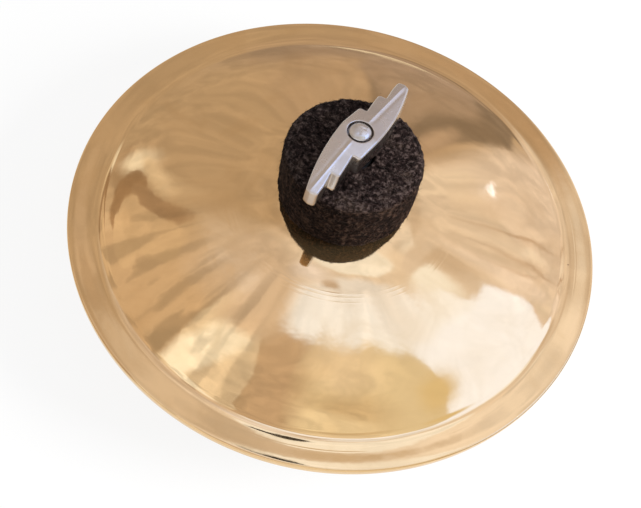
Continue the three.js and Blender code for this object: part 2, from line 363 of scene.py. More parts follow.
def point_values(piece: bpy.types.Object, name: str, values: np.ndarray) -> None:
    """Stores one number at each point of a piece, for its finish to read.

    Args:
        piece: the piece.
        name: name of the attribute.
        values: one number for each point.
    """
    attribute = piece.data.attributes.new(name, "FLOAT", "POINT")
    attribute.data.foreach_set("value", values.astype(np.float32).ravel())


# Shader graphs


class Field:
    """A socket of a node graph, on which Python's operators write Math nodes."""

    def __init__(self, graph: "Graph", socket: bpy.types.NodeSocket) -> None:
        """Holds the socket and the graph that it belongs to."""
        self.graph = graph
        self.socket = socket

    def sibling(self, name: str) -> "Field":
        """Another output of the same node."""
        return Field(self.graph, self.socket.node.outputs[name])

    def math(self, operation: str, *values: Any) -> "Field":
        """One Math node on the given values."""
        return self.graph.node("ShaderNodeMath", {"operation": operation}, dict(enumerate(values)))

    def __add__(self, other: Any) -> "Field":
        """Sum."""
        return self.math("ADD", self, other)

    __radd__ = __add__

    def __sub__(self, other: Any) -> "Field":
        """Difference."""
        return self.math("SUBTRACT", self, other)

    def __rsub__(self, other: Any) -> "Field":
        """Difference, with this field taken away."""
        return self.math("SUBTRACT", other, self)

    def __mul__(self, other: Any) -> "Field":
        """Product."""
        return self.math("MULTIPLY", self, other)

    __rmul__ = __mul__

    def __truediv__(self, other: Any) -> "Field":
        """Quotient."""
        return self.math("DIVIDE", self, other)

    def __pow__(self, other: Any) -> "Field":
        """Power."""
        return self.math("POWER", self, other)

    def sine(self) -> "Field":
        """Sine of an angle in radians."""
        return self.math("SINE", self)

    def between(self, low: float, high: float) -> "Field":
        """Smooth step from 0 at low to 1 at high, where low may be the larger."""
        settings = {"interpolation_type": "SMOOTHSTEP", "clamp": True}
        return self.graph.node("ShaderNodeMapRange", settings,
                               {"Value": self, "From Min": low, "From Max": high})


class Graph:
    """Writes the node graph of one material or world."""

    def __init__(self, tree: bpy.types.NodeTree) -> None:
        """Empties the tree."""
        self.tree = tree
        tree.nodes.clear()

    def node(self, kind: str, settings: dict[str, Any] | None = None,
             inputs: dict[Any, Any] | None = None, output: Any = 0) -> Field:
        """Adds a node.

        Args:
            kind: the node's type.
            settings: its own settings, set first; "stops" gives a ramp's places and colours.
            inputs: numbers, tuples or fields by socket name or number.
            output: name or number of the output to return.

        Returns:
            That output, or the first.
        """
        made = self.tree.nodes.new(kind)
        for name, value in (settings or {}).items():
            if name == "stops":
                elements = made.color_ramp.elements
                while len(elements) < len(value):
                    elements.new(0.5)
                for element, (place, colour) in zip(elements, value):
                    element.position = place
                    element.color = (*colour, 1)
            else:
                setattr(made, name, value)
        for name, value in (inputs or {}).items():
            if isinstance(value, Field):
                self.tree.links.new(value.socket, made.inputs[name])
            else:
                made.inputs[name].default_value = value
        if not made.outputs:
            return Field(self, made.inputs[0])
        return Field(self, made.outputs[output])

    def attribute(self, name: str) -> Field:
        """A number stored at each point of the piece."""
        return self.node("ShaderNodeAttribute", {"attribute_name": name}, output="Fac")

    def parts(self, vector: Field) -> tuple[Field, Field, Field]:
        """The three numbers of a vector."""
        first = self.node("ShaderNodeSeparateXYZ", inputs={0: vector}, output="X")
        return first, first.sibling("Y"), first.sibling("Z")

    def vector(self, x: Any, y: Any) -> Field:
        """The vector (x, y, 0)."""
        return self.node("ShaderNodeCombineXYZ", inputs={0: x, 1: y})

    def cells(self, place: Field, scale: float) -> Field:
        """Distance to the nearest of points that are strewn about 1 / scale apart."""
        return self.node("ShaderNodeTexVoronoi", inputs={"Vector": place, "Scale": scale},
                         output="Distance")

    def place(self, stretch: Triple = (1, 1, 1)) -> Field:
        """Object coordinates in millimetres, each stretched by its own number."""
        raw = self.node("ShaderNodeTexCoord", output="Object")
        scale = tuple(value / MM for value in stretch)
        return self.node("ShaderNodeVectorMath", {"operation": "MULTIPLY"}, {0: raw, 1: scale})

    def noise(self, place: Field, scale: float, detail: float = 4, roughness: float = 0.55,
              distortion: float = 0) -> Field:
        """Noise whose humps are about 1 / scale across, in the place's own units."""
        return self.node("ShaderNodeTexNoise", inputs={
            "Vector": place, "Scale": scale, "Detail": detail, "Roughness": roughness,
            "Distortion": distortion})

    def mixed(self, share: Any, first: Any, second: Any, blend: str = "MIX") -> Field:
        """Mixes two colours.

        Args:
            share: how much of the second shows.
            first: colour or field.
            second: colour or field.
            blend: Mix node's blend type.

        Returns:
            The mixed colour.
        """
        full = [value if isinstance(value, Field) else (*value, 1) for value in (first, second)]
        settings = {"data_type": "RGBA", "blend_type": blend, "clamp_factor": True}
        return self.node("ShaderNodeMix", settings, {0: share, 6: full[0], 7: full[1]}, output=2)

    def radius(self, place: Field) -> Field:
        """Distance from the axis of a place."""
        x, y, _ = self.parts(place)
        return (x * x + y * y) ** 0.5

    def bump(self, height: Field, depth: float, under: Field | None = None) -> Field:
        """Normal of a surface whose height varies by so many millimetres."""
        inputs: dict[Any, Any] = {"Height": height, "Strength": 1.0, "Distance": depth * MM}
        if under is not None:
            inputs["Normal"] = under
        return self.node("ShaderNodeBump", inputs=inputs)

    def surface(self, uniform: dict[str, Any], varying: dict[str, Field]) -> None:
        """Ends a material in its shader, with its even and its varying values."""
        shader = self.node("ShaderNodeBsdfPrincipled", inputs={**uniform, **varying})
        self.node("ShaderNodeOutputMaterial", inputs={"Surface": shader})


def new_graph(name: str) -> tuple[bpy.types.Material, Graph]:
    """Makes an empty material.

    Args:
        name: the material's name.

    Returns:
        The material and its graph.
    """
    material = bpy.data.materials.new(name)
    material.use_nodes = True
    return material, Graph(material.node_tree)


@dataclass(frozen=True)
class PolishedBronze:
    """Cast bronze, pressed and buffed to a mirror outside and turned in rings beneath."""

    colour: Colour = (0.80, 0.55, 0.28)
    worn_colour: Colour = (0.74, 0.49, 0.235)
    speck_colour: Colour = (0.16, 0.09, 0.05)
    gloss_roughness: float = 0.045
    smudge_roughness: float = 0.05
    ring_spacing: float = 0.55
    tool_marks: tuple[float, ...] = (30.6, 31.6, 32.9, 70.9)
    mark_width: float = 0.32
    mark_height: float = 0.28
    haze: float = 0.045

    def material(self) -> bpy.types.Material:
        """Buffing haze, specks and a few tool marks outside, lathe rings on the underside."""
        made, graph = new_graph("polished_bronze")
        place = graph.place()
        smudge = graph.noise(place, 0.06, detail=5, roughness=0.6, distortion=0.8).between(0.42, 0.72)
        lone = graph.noise(place, 0.05, detail=1).between(0.56, 0.66)
        speck = graph.cells(place, 0.16).between(0.045, 0.02) * lone
        beneath = graph.attribute("underside")
        radius = graph.radius(place)
        wander = graph.noise(place, 0.35, detail=2)
        rings = (radius * (2 * np.pi / self.ring_spacing) + wander * 2.5).sine()
        colour = graph.mixed(smudge * 0.7, self.colour, self.worn_colour)
        colour = graph.mixed(speck * 0.8, colour, self.speck_colour)
        colour = graph.mixed(beneath * 0.5, colour, self.worn_colour)
        peel = graph.noise(place, 0.22, detail=2, roughness=0.45)
        skin = graph.bump(peel, 0.012)
        tooled = rings * beneath
        marked = graph.noise(place, 0.05, detail=1).between(0.40, 0.72) * self.mark_height
        for mark in self.tool_marks:
            inner, outer = mark - self.mark_width, mark + self.mark_width
            ridge = radius.between(inner, mark) * radius.between(outer, mark)
            tooled = tooled + ridge * marked
        normal = graph.bump(tooled, 0.02, under=skin)
        roughness = smudge * self.smudge_roughness + self.gloss_roughness + beneath * 0.16
        graph.surface({"Metallic": 1 - self.haze},
                      {"Base Color": colour, "Roughness": roughness, "Normal": normal})
        return made


# Painted shade: steep felt sides are multiplied by this brown, standing in for their shade and the
# warm light the bronze throws up on them.
PAINTED_SIDE_SHADE: Colour = (0.72, 0.59, 0.46)


@dataclass(frozen=True)
class CharcoalFelt:
    """Pressed wool felt, mottled where its fibres mat together."""

    dark: Colour = (0.0045, 0.0028, 0.0025)
    middle: Colour = (0.024, 0.0152, 0.0140)
    pale: Colour = (0.115, 0.083, 0.075)
    brown: Colour = (0.045, 0.030, 0.018)

    def material(self) -> bpy.types.Material:
        """Clumps of fibres, fine and coarse, with a matted bump, and painted shade and bounce light
        on the steep sides.
        """
        made, graph = new_graph("charcoal_felt")
        place = graph.place()
        clumps = graph.noise(place, 0.85, detail=4, roughness=0.7, distortion=0.3)
        strands = graph.noise(graph.place((0.7, 0.7, 1.9)), 1.25, detail=4, roughness=0.68,
                              distortion=0.5)
        patches = graph.noise(place, 0.22, detail=3, roughness=0.6)
        matted = clumps * 0.50 + strands * 0.30 + patches * 0.20
        colour = graph.mixed(matted.between(0.43, 0.515), self.dark, self.middle)
        colour = graph.mixed(matted.between(0.50, 0.60), colour, self.pale)
        colour = graph.mixed(patches.between(0.5, 0.75) * 0.35, colour, self.brown)
        # painted shade and bounce light: steep sides darkened and browned
        colour = graph.mixed(graph.attribute("side_share"), colour, PAINTED_SIDE_SHADE, blend="MULTIPLY")
        normal = graph.bump(matted, 0.8)
        graph.surface({"Metallic": 0.0, "Roughness": 1.0, "Specular IOR Level": 0.06,
                       "Sheen Weight": 0.03, "Sheen Roughness": 0.5,
                       "Sheen Tint": (0.6, 0.52, 0.48, 1)},
                      {"Base Color": colour, "Normal": normal})
        return made


@dataclass(frozen=True)
class FeltFibre:
    """Loose wool fibres, each of its own tone."""

    dark: Colour = (0.010, 0.007, 0.0065)
    pale: Colour = (0.15, 0.114, 0.102)

    def material(self) -> bpy.types.Material:
        """Tone from each fibre's own number, a little uneven along it, with the felt's painted side
        shade.
        """
        made, graph = new_graph("felt_fibre")
        along = graph.noise(graph.place(), 2.2, detail=2)
        share = graph.attribute("fibre_tone") * (along * 0.6 + 0.7)
        colour = graph.mixed(share, self.dark, self.pale)
        # painted shade and bounce light on fibres lying on the steep sides
        colour = graph.mixed(graph.attribute("side_share"), colour, PAINTED_SIDE_SHADE, blend="MULTIPLY")
        graph.surface({"Metallic": 0.0, "Roughness": 0.75, "Specular IOR Level": 0.25},
                      {"Base Color": colour})
        return made


@dataclass(frozen=True)
class CastMetal:
    """Die-cast or plated metal with a fine grain and soft stains."""

    name: str
    colour: Colour
    stain: Colour
    roughness: float
    roughness_spread: float = 0.08
    grain_scale: float = 3.0
    grain_depth: float = 0.012
    pit_depth: float = 0.02

    def material(self) -> bpy.types.Material:
        """Grain in the bump, stains in colour and roughness."""
        made, graph = new_graph(self.name)
        place = graph.place()
        stains = graph.noise(place, 0.22, detail=5, roughness=0.6, distortion=0.5)
        grain = graph.noise(place, self.grain_scale, detail=5, roughness=0.6)
        dents = graph.cells(place, 0.9).between(0.3, 0.05)
        colour = graph.mixed(stains.between(0.4, 0.7) * 0.6, self.colour, self.stain)
        roughness = stains.between(0.35, 0.7) * self.roughness_spread + self.roughness
        normal = graph.bump(grain, self.grain_depth)
        normal = graph.bump(1 - dents, self.pit_depth, under=normal)
        graph.surface({"Metallic": 1.0},
                      {"Base Color": colour, "Roughness": roughness, "Normal": normal})
        return made


@dataclass(frozen=True)
class BlackNylon:
    """Moulded nylon with a faint haze."""

    colour: Colour = (0.018, 0.018, 0.019)
    haze: Colour = (0.040, 0.040, 0.042)

    def material(self) -> bpy.types.Material:
        """Fine moulded texture and haze."""
        made, graph = new_graph("black_nylon")
        place = graph.place()
        haze = graph.noise(place, 0.3, detail=4).between(0.4, 0.75)
        colour = graph.mixed(haze, self.colour, self.haze)
        normal = graph.bump(graph.noise(place, 4, detail=3), 0.01)
        graph.surface({"Metallic": 0.0},
                      {"Base Color": colour, "Roughness": haze * 0.15 + 0.42, "Normal": normal})
        return made


# The object's sub-assemblies


def dress(piece: bpy.types.Object, material: bpy.types.Material) -> None:
    """Gives a piece its finish.

    Args:
        piece: the piece.
        material: the finish.
    """
    piece.data.materials.clear()
    piece.data.materials.append(material)


@dataclass
class BellCymbal:
    """Thick domed cymbal: a round crown, a steepening flank, a hollow fillet and a flange."""

    finish: PolishedBronze
    diameter: float = 152.4
    rise: float = 16.2
    wall: float = 2.6
    hole: float = 12.7
    edge_round: float = 0.5
    crown_radius: float = 120
    crown_slope: float = 15
    crown_handle: float = 20
    shoulder_diameter: float = 131.4
    shoulder_slope: float = 25
    shoulder_handle: float = 10
    flange_width: float = 5.6
    flange_slope: float = 3.8
    flange_dip: float = 1.7
    rim_fall: float = 2.6
    columns: int = 512
    press_waves: float = 0.035
    spin_ripple: float = 0.0015

    def outer_profile(self) -> np.ndarray:
        """Upper surface from the hole to the rim, as radius and height above the rim.

        The crown is a circle's arc and the flank a cubic Bezier curve from its slope to the
        shoulder's. From there the slope is given, and the height is its tangent's sum: it eases
        to the flange's slope as (1 - u)^2, and over the flange it dips as half a sine wave and
        grows again as u^2 towards the rim.

        Returns:
            Points, (n, 2).
        """
        rim = self.diameter / 2
        flange_inner = rim - self.flange_width
        shoulder = self.shoulder_diameter / 2
        crown, steep, shallow = np.radians([self.crown_slope, self.shoulder_slope,
                                            self.flange_slope])
        out = np.linspace(shoulder, rim, 54)
        eased = np.clip((out - shoulder) / (flange_inner - shoulder), 0, 1)
        outer = np.clip((out - flange_inner) / self.flange_width, 0, 1)
        slope = shallow + (steep - shallow) * (1 - eased) ** 2
        slope -= np.radians(self.flange_dip) * np.sin(np.pi * outer)
        slope += np.radians(self.rim_fall) * outer ** 2
        drop = np.cumsum(np.diff(out) * np.tan((slope[1:] + slope[:-1]) / 2))
        shoulder_drop = self.rise - drop[-1]
        edge = self.crown_radius * np.array([np.sin(crown), np.cos(crown) - 1])

        turn = np.linspace(np.arcsin(self.hole / 2 / self.crown_radius), crown, 26)
        crown_arc = self.crown_radius * np.stack([np.sin(turn), np.cos(turn) - 1], 1)
        foot = np.array([shoulder, -shoulder_drop])
        first = edge + self.crown_handle * np.array([np.cos(crown), -np.sin(crown)])
        second = foot - self.shoulder_handle * np.array([np.cos(steep), -np.sin(steep)])
        u = np.linspace(0, 1, 56)[1:, None]
        flank = ((1 - u) ** 3 * edge + 3 * (1 - u) ** 2 * u * first
                 + 3 * (1 - u) * u ** 2 * second + u ** 3 * foot)
        border = np.stack([out[1:], -shoulder_drop - drop], 1)
        return np.vstack([crown_arc, flank, border]) + [0, self.rise]

    def outline(self) -> tuple[np.ndarray, np.ndarray]:
        """Closed section of the wall, and which of its points are underneath.

        The underside is the upper surface moved down by wall / cos(slope).

        Returns:
            Section points, (n, 2), and 1 for each point underneath, else 0.
        """
        upper = self.outer_profile()
        slope = np.gradient(upper[:, 1], upper[:, 0])
        lower = upper - np.stack([np.zeros(len(upper)), self.wall * np.hypot(1, slope)], 1)
        lower = lower[::2]
        corner = np.array([lower[-1], upper[-1], upper[0], lower[0]])
        before = np.array([lower[-2], lower[-1], upper[1], upper[0]])
        after = np.array([upper[-1], upper[-2], lower[0], lower[1]])
        arcs = corner_arcs(before, corner, after, np.full(4, self.edge_round), 6)

        def clear(points: np.ndarray) -> np.ndarray:
            """Leaves out the points that the rounded edges take the place of."""
            inner, outer = self.hole / 2 + self.edge_round, self.diameter / 2 - self.edge_round
            kept = (points[:, 0] > inner + 0.1) & (points[:, 0] < outer - 0.1)
            return points[kept]

        below, above = clear(lower), clear(upper)[::-1]
        section = np.vstack([below, arcs[0], arcs[1], above, arcs[2], arcs[3]])
        underneath = np.zeros(len(section))
        underneath[:len(below)] = 1
        return section, underneath

    def waves(self, radius: np.ndarray, turn: np.ndarray) -> np.ndarray:
        """Small unevenness of the pressed bronze, in millimetres.

        A few slow sine waves round the axis that grow towards the shoulder, and faint rings
        where the shoulder was spun.

        Args:
            radius: distances from the axis.
            turn: angles round it.

        Returns:
            Heights to add, of the same shape.
        """
        out = np.clip((radius - 18) / 40, 0, 1)
        around = (np.sin(2 * turn + 0.7) + 0.7 * np.sin(3 * turn + 2.1)
                  + 0.45 * np.sin(5 * turn + 4.0 + radius / 19)
                  + 0.25 * np.sin(9 * turn + 1.2 + radius / 7))
        shoulder = np.exp(-((radius - 62) / 7) ** 2)
        rings = np.sin(radius * 2.9) + 0.6 * np.sin(radius * 5.3 + 1)
        return self.press_waves * out * around + self.spin_ripple * shoulder * rings

    def build(self) -> None:
        """Makes the cymbal and puts it in the place of its plain solid."""
        low, _ = span("bell_cymbal")
        section, underneath = self.outline()
        grid = turned(section, self.columns)
        radius = np.hypot(grid[..., 0], grid[..., 1])
        turn = np.arctan2(grid[..., 1], grid[..., 0])
        grid[..., 2] += self.waves(radius, turn) - section[:, 1].min() + low
        piece = grid_object("bronze_bell", grid)
        point_values(piece, "underside", np.repeat(underneath, self.columns))
        dress(piece, self.finish.material())
        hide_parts("bell_cymbal")
        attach(piece, Body.CYMBAL.value)
        log.info("bell cymbal: %d points", len(piece.data.vertices))


@dataclass
class FeltDisc:
    """Thick felt disc round the sleeve, with the loose fibres that stand off it."""

    node: str
    finish: bpy.types.Material
    fibre_finish: bpy.types.Material
    section: list[Triple]
    ends: tuple[float, float]
    ends_bodies: tuple[Body, Body]
    fibres: int
    seed: int
    columns: int = 300
    spacing: float = 0.42
    fibre_length: tuple[float, float] = (0.9, 2.8)
    fibre_radius: float = 0.026
    fibre_steps: int = 7
    fibres_from: float = 7.5
    fibre_bend: float = 0.55
    fibre_twist: float = 0.22
    fibre_lift: float = 0.22
    highest_lift: float = 1.3
    least_radius: float = 6
    hump: float = 0.16
    lump_sizes: tuple[Triple, ...] = (
        (5, 7, 0.7), (34, 60, 0.45), (70, 120, 0.38))
    lump_limits: tuple[float, float] = (-0.42, 0.34)
    smooth_bore: float = 6.2

    def skin(self) -> tuple[np.ndarray, np.ndarray]:
        """The disc's surface, with felt's lumps on it.

        Each size of lump is how many fit along the section and round the axis, and its weight.
        The bore stays smooth.

        Returns:
            Smooth grid and how far each point is moved along its normal.
        """
        random = np.random.default_rng(self.seed)
        outline = refined(rounded(self.section, 7), self.spacing)
        grid = turned(outline, self.columns)
        shape = (len(outline), self.columns)
        lumps = self.hump * sum(weight * soft_noise(shape, (along, around), random)
                                for along, around, weight in self.lump_sizes)
        outward = np.clip((outline[:, 0] - self.smooth_bore) / 2, 0, 1)[:, None]
        return grid, np.clip(lumps, *self.lump_limits) * outward

    def wander(self, section: np.ndarray,
               random: np.random.Generator) -> tuple[np.ndarray, np.ndarray]:
        """Paths of the loose fibres on the surface.

        Each starts at a random place and heads off at a random angle that bends steadily. The
        steps along the section and round the axis are the sine and cosine of that angle.

        Args:
            section: the surface's section, (rows, 2).
            random: seeded source of the draws.

        Returns:
            The row where each step of each fibre is, and its angle round the axis.
        """
        shown = np.flatnonzero(section[:, 0] > self.fibres_from)
        weight = section[shown, 0] / section[shown, 0].sum()
        count, steps = self.fibres, self.fibre_steps
        row = random.choice(shown, count, p=weight) + random.uniform(-0.5, 0.5, count)
        turn = random.uniform(0, 2 * np.pi, count)
        length = random.uniform(*self.fibre_length, count)
        heading = random.uniform(0, 2 * np.pi, count)
        bend = random.normal(0, self.fibre_bend, count)
        twist = random.normal(0, self.fibre_twist, count)
        way = length[:, None] * np.linspace(0, 1, steps)
        angle = heading[:, None] + bend[:, None] * way + twist[:, None] * way ** 2
        step = way[:, 1:2] * np.ones(steps)
        step[:, 0] = 0
        row = row[:, None] + np.cumsum(np.sin(angle) * step, 1) / self.spacing
        row = np.clip(row, shown[0], shown[-1])
        radius = np.interp(row, np.arange(len(section)), section[:, 0])
        across = np.cumsum(np.cos(angle) * step, 1)
        return row, turn[:, None] + across / np.maximum(radius, self.least_radius)

    def strands(self, grid: np.ndarray, lumps: np.ndarray) -> tuple[np.ndarray, ...]:
        """Loose fibres that follow the surface and lift off it.

        The lift grows with the square of the way along a fibre.

        Args:
            grid: the smooth surface.
            lumps: how far its points are moved.

        Returns:
            Corner points, (n, steps, 3, 3), a tone for each fibre, and the upward share of
            the skin's normal under each step of it.
        """
        random = np.random.default_rng(self.seed + 1)
        section = np.stack([np.hypot(grid[:, 0, 0], grid[:, 0, 1]), grid[:, 0, 2]], 1)
        row, turn = self.wander(section, random)
        along = np.gradient(section, axis=0)
        normal = unit(np.stack([along[:, 1], -along[:, 0]], 1))
        rows = np.arange(len(section))
        radius, height, out, up = (np.interp(row, rows, values)
                                   for values in (*section.T, *normal.T))
        nearest = (np.round(row).astype(int),
                   np.round(turn / (2 * np.pi) * self.columns).astype(int) % self.columns)
        share = np.linspace(0, 1, self.fibre_steps)
        lift = random.exponential(self.fibre_lift, self.fibres).clip(0, self.highest_lift)
        stray = lift[:, None] * share ** 2 - 0.02 * (1 - share) + 0.03
        off = lumps[nearest] + stray
        skin_normal = around(out, turn, up)
        path = around(radius, turn, height) + skin_normal * off[..., None]
        tangent = unit(np.gradient(path, axis=1))
        side = unit(np.cross(tangent, skin_normal))
        top = np.cross(side, tangent)
        corner = np.arange(3) * 2 * np.pi / 3
        thick = self.fibre_radius * random.uniform(0.7, 1.6, self.fibres)[:, None, None, None]
        taper = (1 - 0.6 * np.abs(2 * share - 1) ** 3)[None, :, None, None]
        ring = (side[:, :, None] * np.cos(corner)[:, None]
                + top[:, :, None] * np.sin(corner)[:, None])
        tone = random.uniform(0, 1, self.fibres) ** 2.2
        return path[:, :, None] + ring * thick * taper, tone, up

    def side_share(self, upward: np.ndarray) -> np.ndarray:
        """How much painted shade and bounce light each point gets, from its normal's height: steep
        sides most.
        """
        return np.clip(1.5 * (1 - np.abs(upward)) - 0.25, 0, 1).ravel()

    def fibre_object(self, grid: np.ndarray, lumps: np.ndarray) -> bpy.types.Object:
        """Puts the fibres into one mesh of three-sided strands with closed ends.

        Args:
            grid: the smooth surface.
            lumps: how far its points are moved.

        Returns:
            The fibres' object.
        """
        corners, tone, upward = self.strands(grid, lumps)
        count, steps = corners.shape[:2]
        base = np.arange(count)[:, None, None] * steps * 3
        ring = np.arange(steps - 1)[None, :, None] * 3
        side = np.arange(3)[None, None, :]
        after = (side + 1) % 3
        quads = np.stack([base + ring + side, base + ring + after,
                          base + ring + 3 + after, base + ring + 3 + side], -1).reshape(-1, 4)
        start = np.arange(count)[:, None] * steps * 3
        first = start + np.array([2, 1, 0])
        last = start + (steps - 1) * 3 + np.array([0, 1, 2])
        faces = quads.tolist() + first.tolist() + last.tolist()
        piece = faces_object(f"{self.node}_fibres", corners.reshape(-1, 3), faces)
        point_values(piece, "fibre_tone", np.repeat(tone, steps * 3))
        point_values(piece, "side_share", np.repeat(self.side_share(upward), 3))
        return piece

    def build(self) -> None:
        """Makes the disc and its fibres."""
        grid, lumps = self.skin()
        normals = grid_normals(grid)
        disc = grid_object(f"{self.node}_disc", grid + normals * lumps[..., None])
        # share of painted side shade and bounce light at each point
        point_values(disc, "side_share", self.side_share(normals[..., 2]))
        fibres = self.fibre_object(grid, lumps)
        dress(disc, self.finish)
        dress(fibres, self.fibre_finish)
        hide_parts(self.node)
        start, end = ((0, 0, height * MM) for height in self.ends)
        for piece in (disc, fibres):
            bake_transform(piece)
        log.info("%s: %d points and %d fibres", self.node, len(disc.data.vertices), self.fibres)


@dataclass
class WingNut:
    """Die-cast nut with two wings of three stepped feathers, alike after half a turn."""

    finish: CastMetal
    heading: float = 67.2
    half_span: float = 22.4
    hub_width: float = 10.9
    tip_side: float = 1.2
    nose: float = 0.45
    boss_radius: float = 4.8
    boss_height: float = 1.0
    bore_radius: float = 3.1
    counterbore_radius: float = 3.5
    counterbore_depth: float = 4.0
    flat_length: float = 7.4
    ridge_fall: float = 7
    facet_fall: float = 6
    bead_height: float = 0.13
    bead_width: float = 0.34
    groove_depth: float = 0.06
    groove_width: float = 0.45
    ridge_soft: float = 0.3
    edge_round: float = 0.55
    boss_round: float = 0.25
    foot_round: float = 0.35
    lip_round: float = 0.22

    def stepped_side(self, lean: float) -> np.ndarray:
        """Corners of the stepped side from the tip back to the hub, with their radii.

        Args:
            lean: 0 at the top and 1 at the bottom, where the end faces stand further out.

        Returns:
            Rows of along, across and radius.
        """
        tip = self.half_span + 0.6 * lean
        middle = 14.8 + 1.2 * lean
        inner = 7.2 + 0.4 * lean
        return np.array([
            (tip, -self.tip_side, 0.6),
            (tip + self.nose, 0.4, 1.2),
            (tip, 2.2, 0.9),
            (18.9, 2.0, 8.0),
            (middle, 1.3, 0.4),
            (middle, 3.6, 0.95),
            (11.0, 3.2, 8.0),
            (inner, 2.7, 0.4),
            (inner, 4.85, 1.1),
        ])

    def plan(self, lean: float, inset: float = 0) -> np.ndarray:
        """Plan outline of the wings, anticlockwise.

        The smooth side draws in with the square of the way along the wing. The stepped side's
        corners are rounded, and a second wing is the first after half a turn.

        Args:
            lean: how far down the end faces it is taken, from 0 to 1.
            inset: how far it is drawn in square to itself.

        Returns:
            Points, (n, 2).
        """
        hub = self.hub_width / 2
        corners = self.stepped_side(lean)
        share = np.linspace(0, 0.96, 72)
        smooth = np.stack([corners[0, 0] * share,
                           -(hub + (self.tip_side - hub) * share ** 2)], 1)
        place = corners[:, :2]
        before = np.vstack([smooth[-1:], place[:-1]])
        after = np.vstack([place[1:], [[0, hub]]])
        arcs = corner_arcs(before, place, after, corners[:, 2], 10)
        starts = arcs[:, -1]
        ends = np.vstack([arcs[1:, 0], [[0, hub]]])
        edge = np.linspace(0, 1, 14)[1:-1, None]
        edges = starts[:, None] + (ends - starts)[:, None] * edge
        stepped = np.concatenate([arcs, edges], 1).reshape(-1, 2)
        wing = np.vstack([smooth, stepped])
        both = np.vstack([wing, -wing])
        tangent = unit(np.roll(both, -1, 0) - np.roll(both, 1, 0))
        return both - inset * np.stack([tangent[:, 1], -tangent[:, 0]], 1)

    def lattice(self) -> np.ndarray:
        """Points for the flat faces, closer together by the ridge.

        The steps along the wings are even, and those across grow as a hyperbolic sine.

        Returns:
            Points, (n, 2).
        """
        along = np.arange(-self.half_span - 1, self.half_span + 1, 0.4)
        across = np.sinh(np.linspace(-3.2, 3.2, 45)) * self.hub_width / 2 / np.sinh(3.2)
        return np.stack(np.meshgrid(along, across), -1).reshape(-1, 2)

    def roof(self, place: np.ndarray, top: float) -> np.ndarray:
        """Height of the wings' upper face.

        The hub is flat. Along a wing two facets fall towards the tip and to both sides. A
        rounded bead runs along the ridge where they meet, with a shallow groove on the smooth
        side of it.

        Args:
            place: plan points, (..., 2).
            top: height of the hub's top.

        Returns:
            Heights of the same shape.
        """
        along, across = np.abs(place[..., 0]), np.abs(place[..., 1])
        outward = along - self.flat_length / 2
        fall = (outward * np.tan(np.radians(self.ridge_fall))
                + across * np.tan(np.radians(self.facet_fall)))
        fall = (fall + np.sqrt(fall ** 2 + self.ridge_soft ** 2)) / 2
        fade = np.clip(outward / 1.5, 0, 1) * np.clip((self.half_span - 0.6 - along) / 2, 0, 1)
        bead = self.bead_height * np.exp(-(across / self.bead_width) ** 2)
        side = place[..., 1] * np.sign(place[..., 0])
        groove = self.groove_depth * np.exp(-(side / self.groove_width + 2) ** 2)
        return top - fall + fade * (bead - groove)

    def rows(self, base: float, top: float) -> tuple[np.ndarray, int, int]:
        """Rows of points over the whole nut.

        They go out along the bottom of the boss and up it, up the wings' walls and over their
        rounded edges, and down through the counterbore and the bore.

        Args:
            base: height of the boss's bottom.
            top: height of the hub's top.

        Returns:
            Points, (rows, columns, 3), and the numbers of the last row before the wings'
            underside and of the last before their roof.
        """
        foot = base + self.boss_height
        low, high = self.plan(1), self.plan(0)
        count = len(low)
        circle = around(1, full_turn(count), 0)[:, :2]
        quarter = np.linspace(0, np.pi / 2, 8)
        rows: list[np.ndarray] = []

        def add(place: np.ndarray, height: Any) -> None:
            """Adds one row at a height."""
            heights = np.broadcast_to(height, place.shape[:1])
            rows.append(np.column_stack([place, heights]))

        small = self.boss_round
        add(circle * (self.bore_radius + small), base)
        add(circle * (self.boss_radius - small), base)
        for turn in quarter[1:]:
            add(circle * (self.boss_radius - small * (1 - np.sin(turn))),
                base + small * (1 - np.cos(turn)))
        add(circle * self.boss_radius, foot)
        under = len(rows) - 1
        for turn in quarter:
            add(self.plan(1, self.foot_round * (1 - np.sin(turn))),
                foot + self.foot_round * (1 - np.cos(turn)))
        edge_high = self.plan(0, self.edge_round)
        wall_top = self.roof(edge_high, top) - self.edge_round
        wall_foot = foot + self.foot_round
        for share in np.linspace(0, 1, 9)[1:]:
            add(low + (high - low) * share, wall_foot + (wall_top - wall_foot) * share)
        for turn in quarter[1:]:
            add(self.plan(0, self.edge_round * (1 - np.cos(turn))),
                wall_top + self.edge_round * np.sin(turn))
        over = len(rows) - 1
        lip = self.lip_round
        lip_circle = circle * (self.counterbore_radius + lip)
        add(lip_circle, self.roof(lip_circle, top))
        for turn in quarter[1:]:
            ring = circle * (self.counterbore_radius + lip * (1 - np.sin(turn)))
            add(ring, self.roof(lip_circle, top) - lip * (1 - np.cos(turn)))
        floor = top - self.counterbore_depth
        add(circle * self.counterbore_radius, floor)
        add(circle * self.bore_radius, floor)
        add(circle * self.bore_radius, base + small)
        return np.stack(rows), under, over

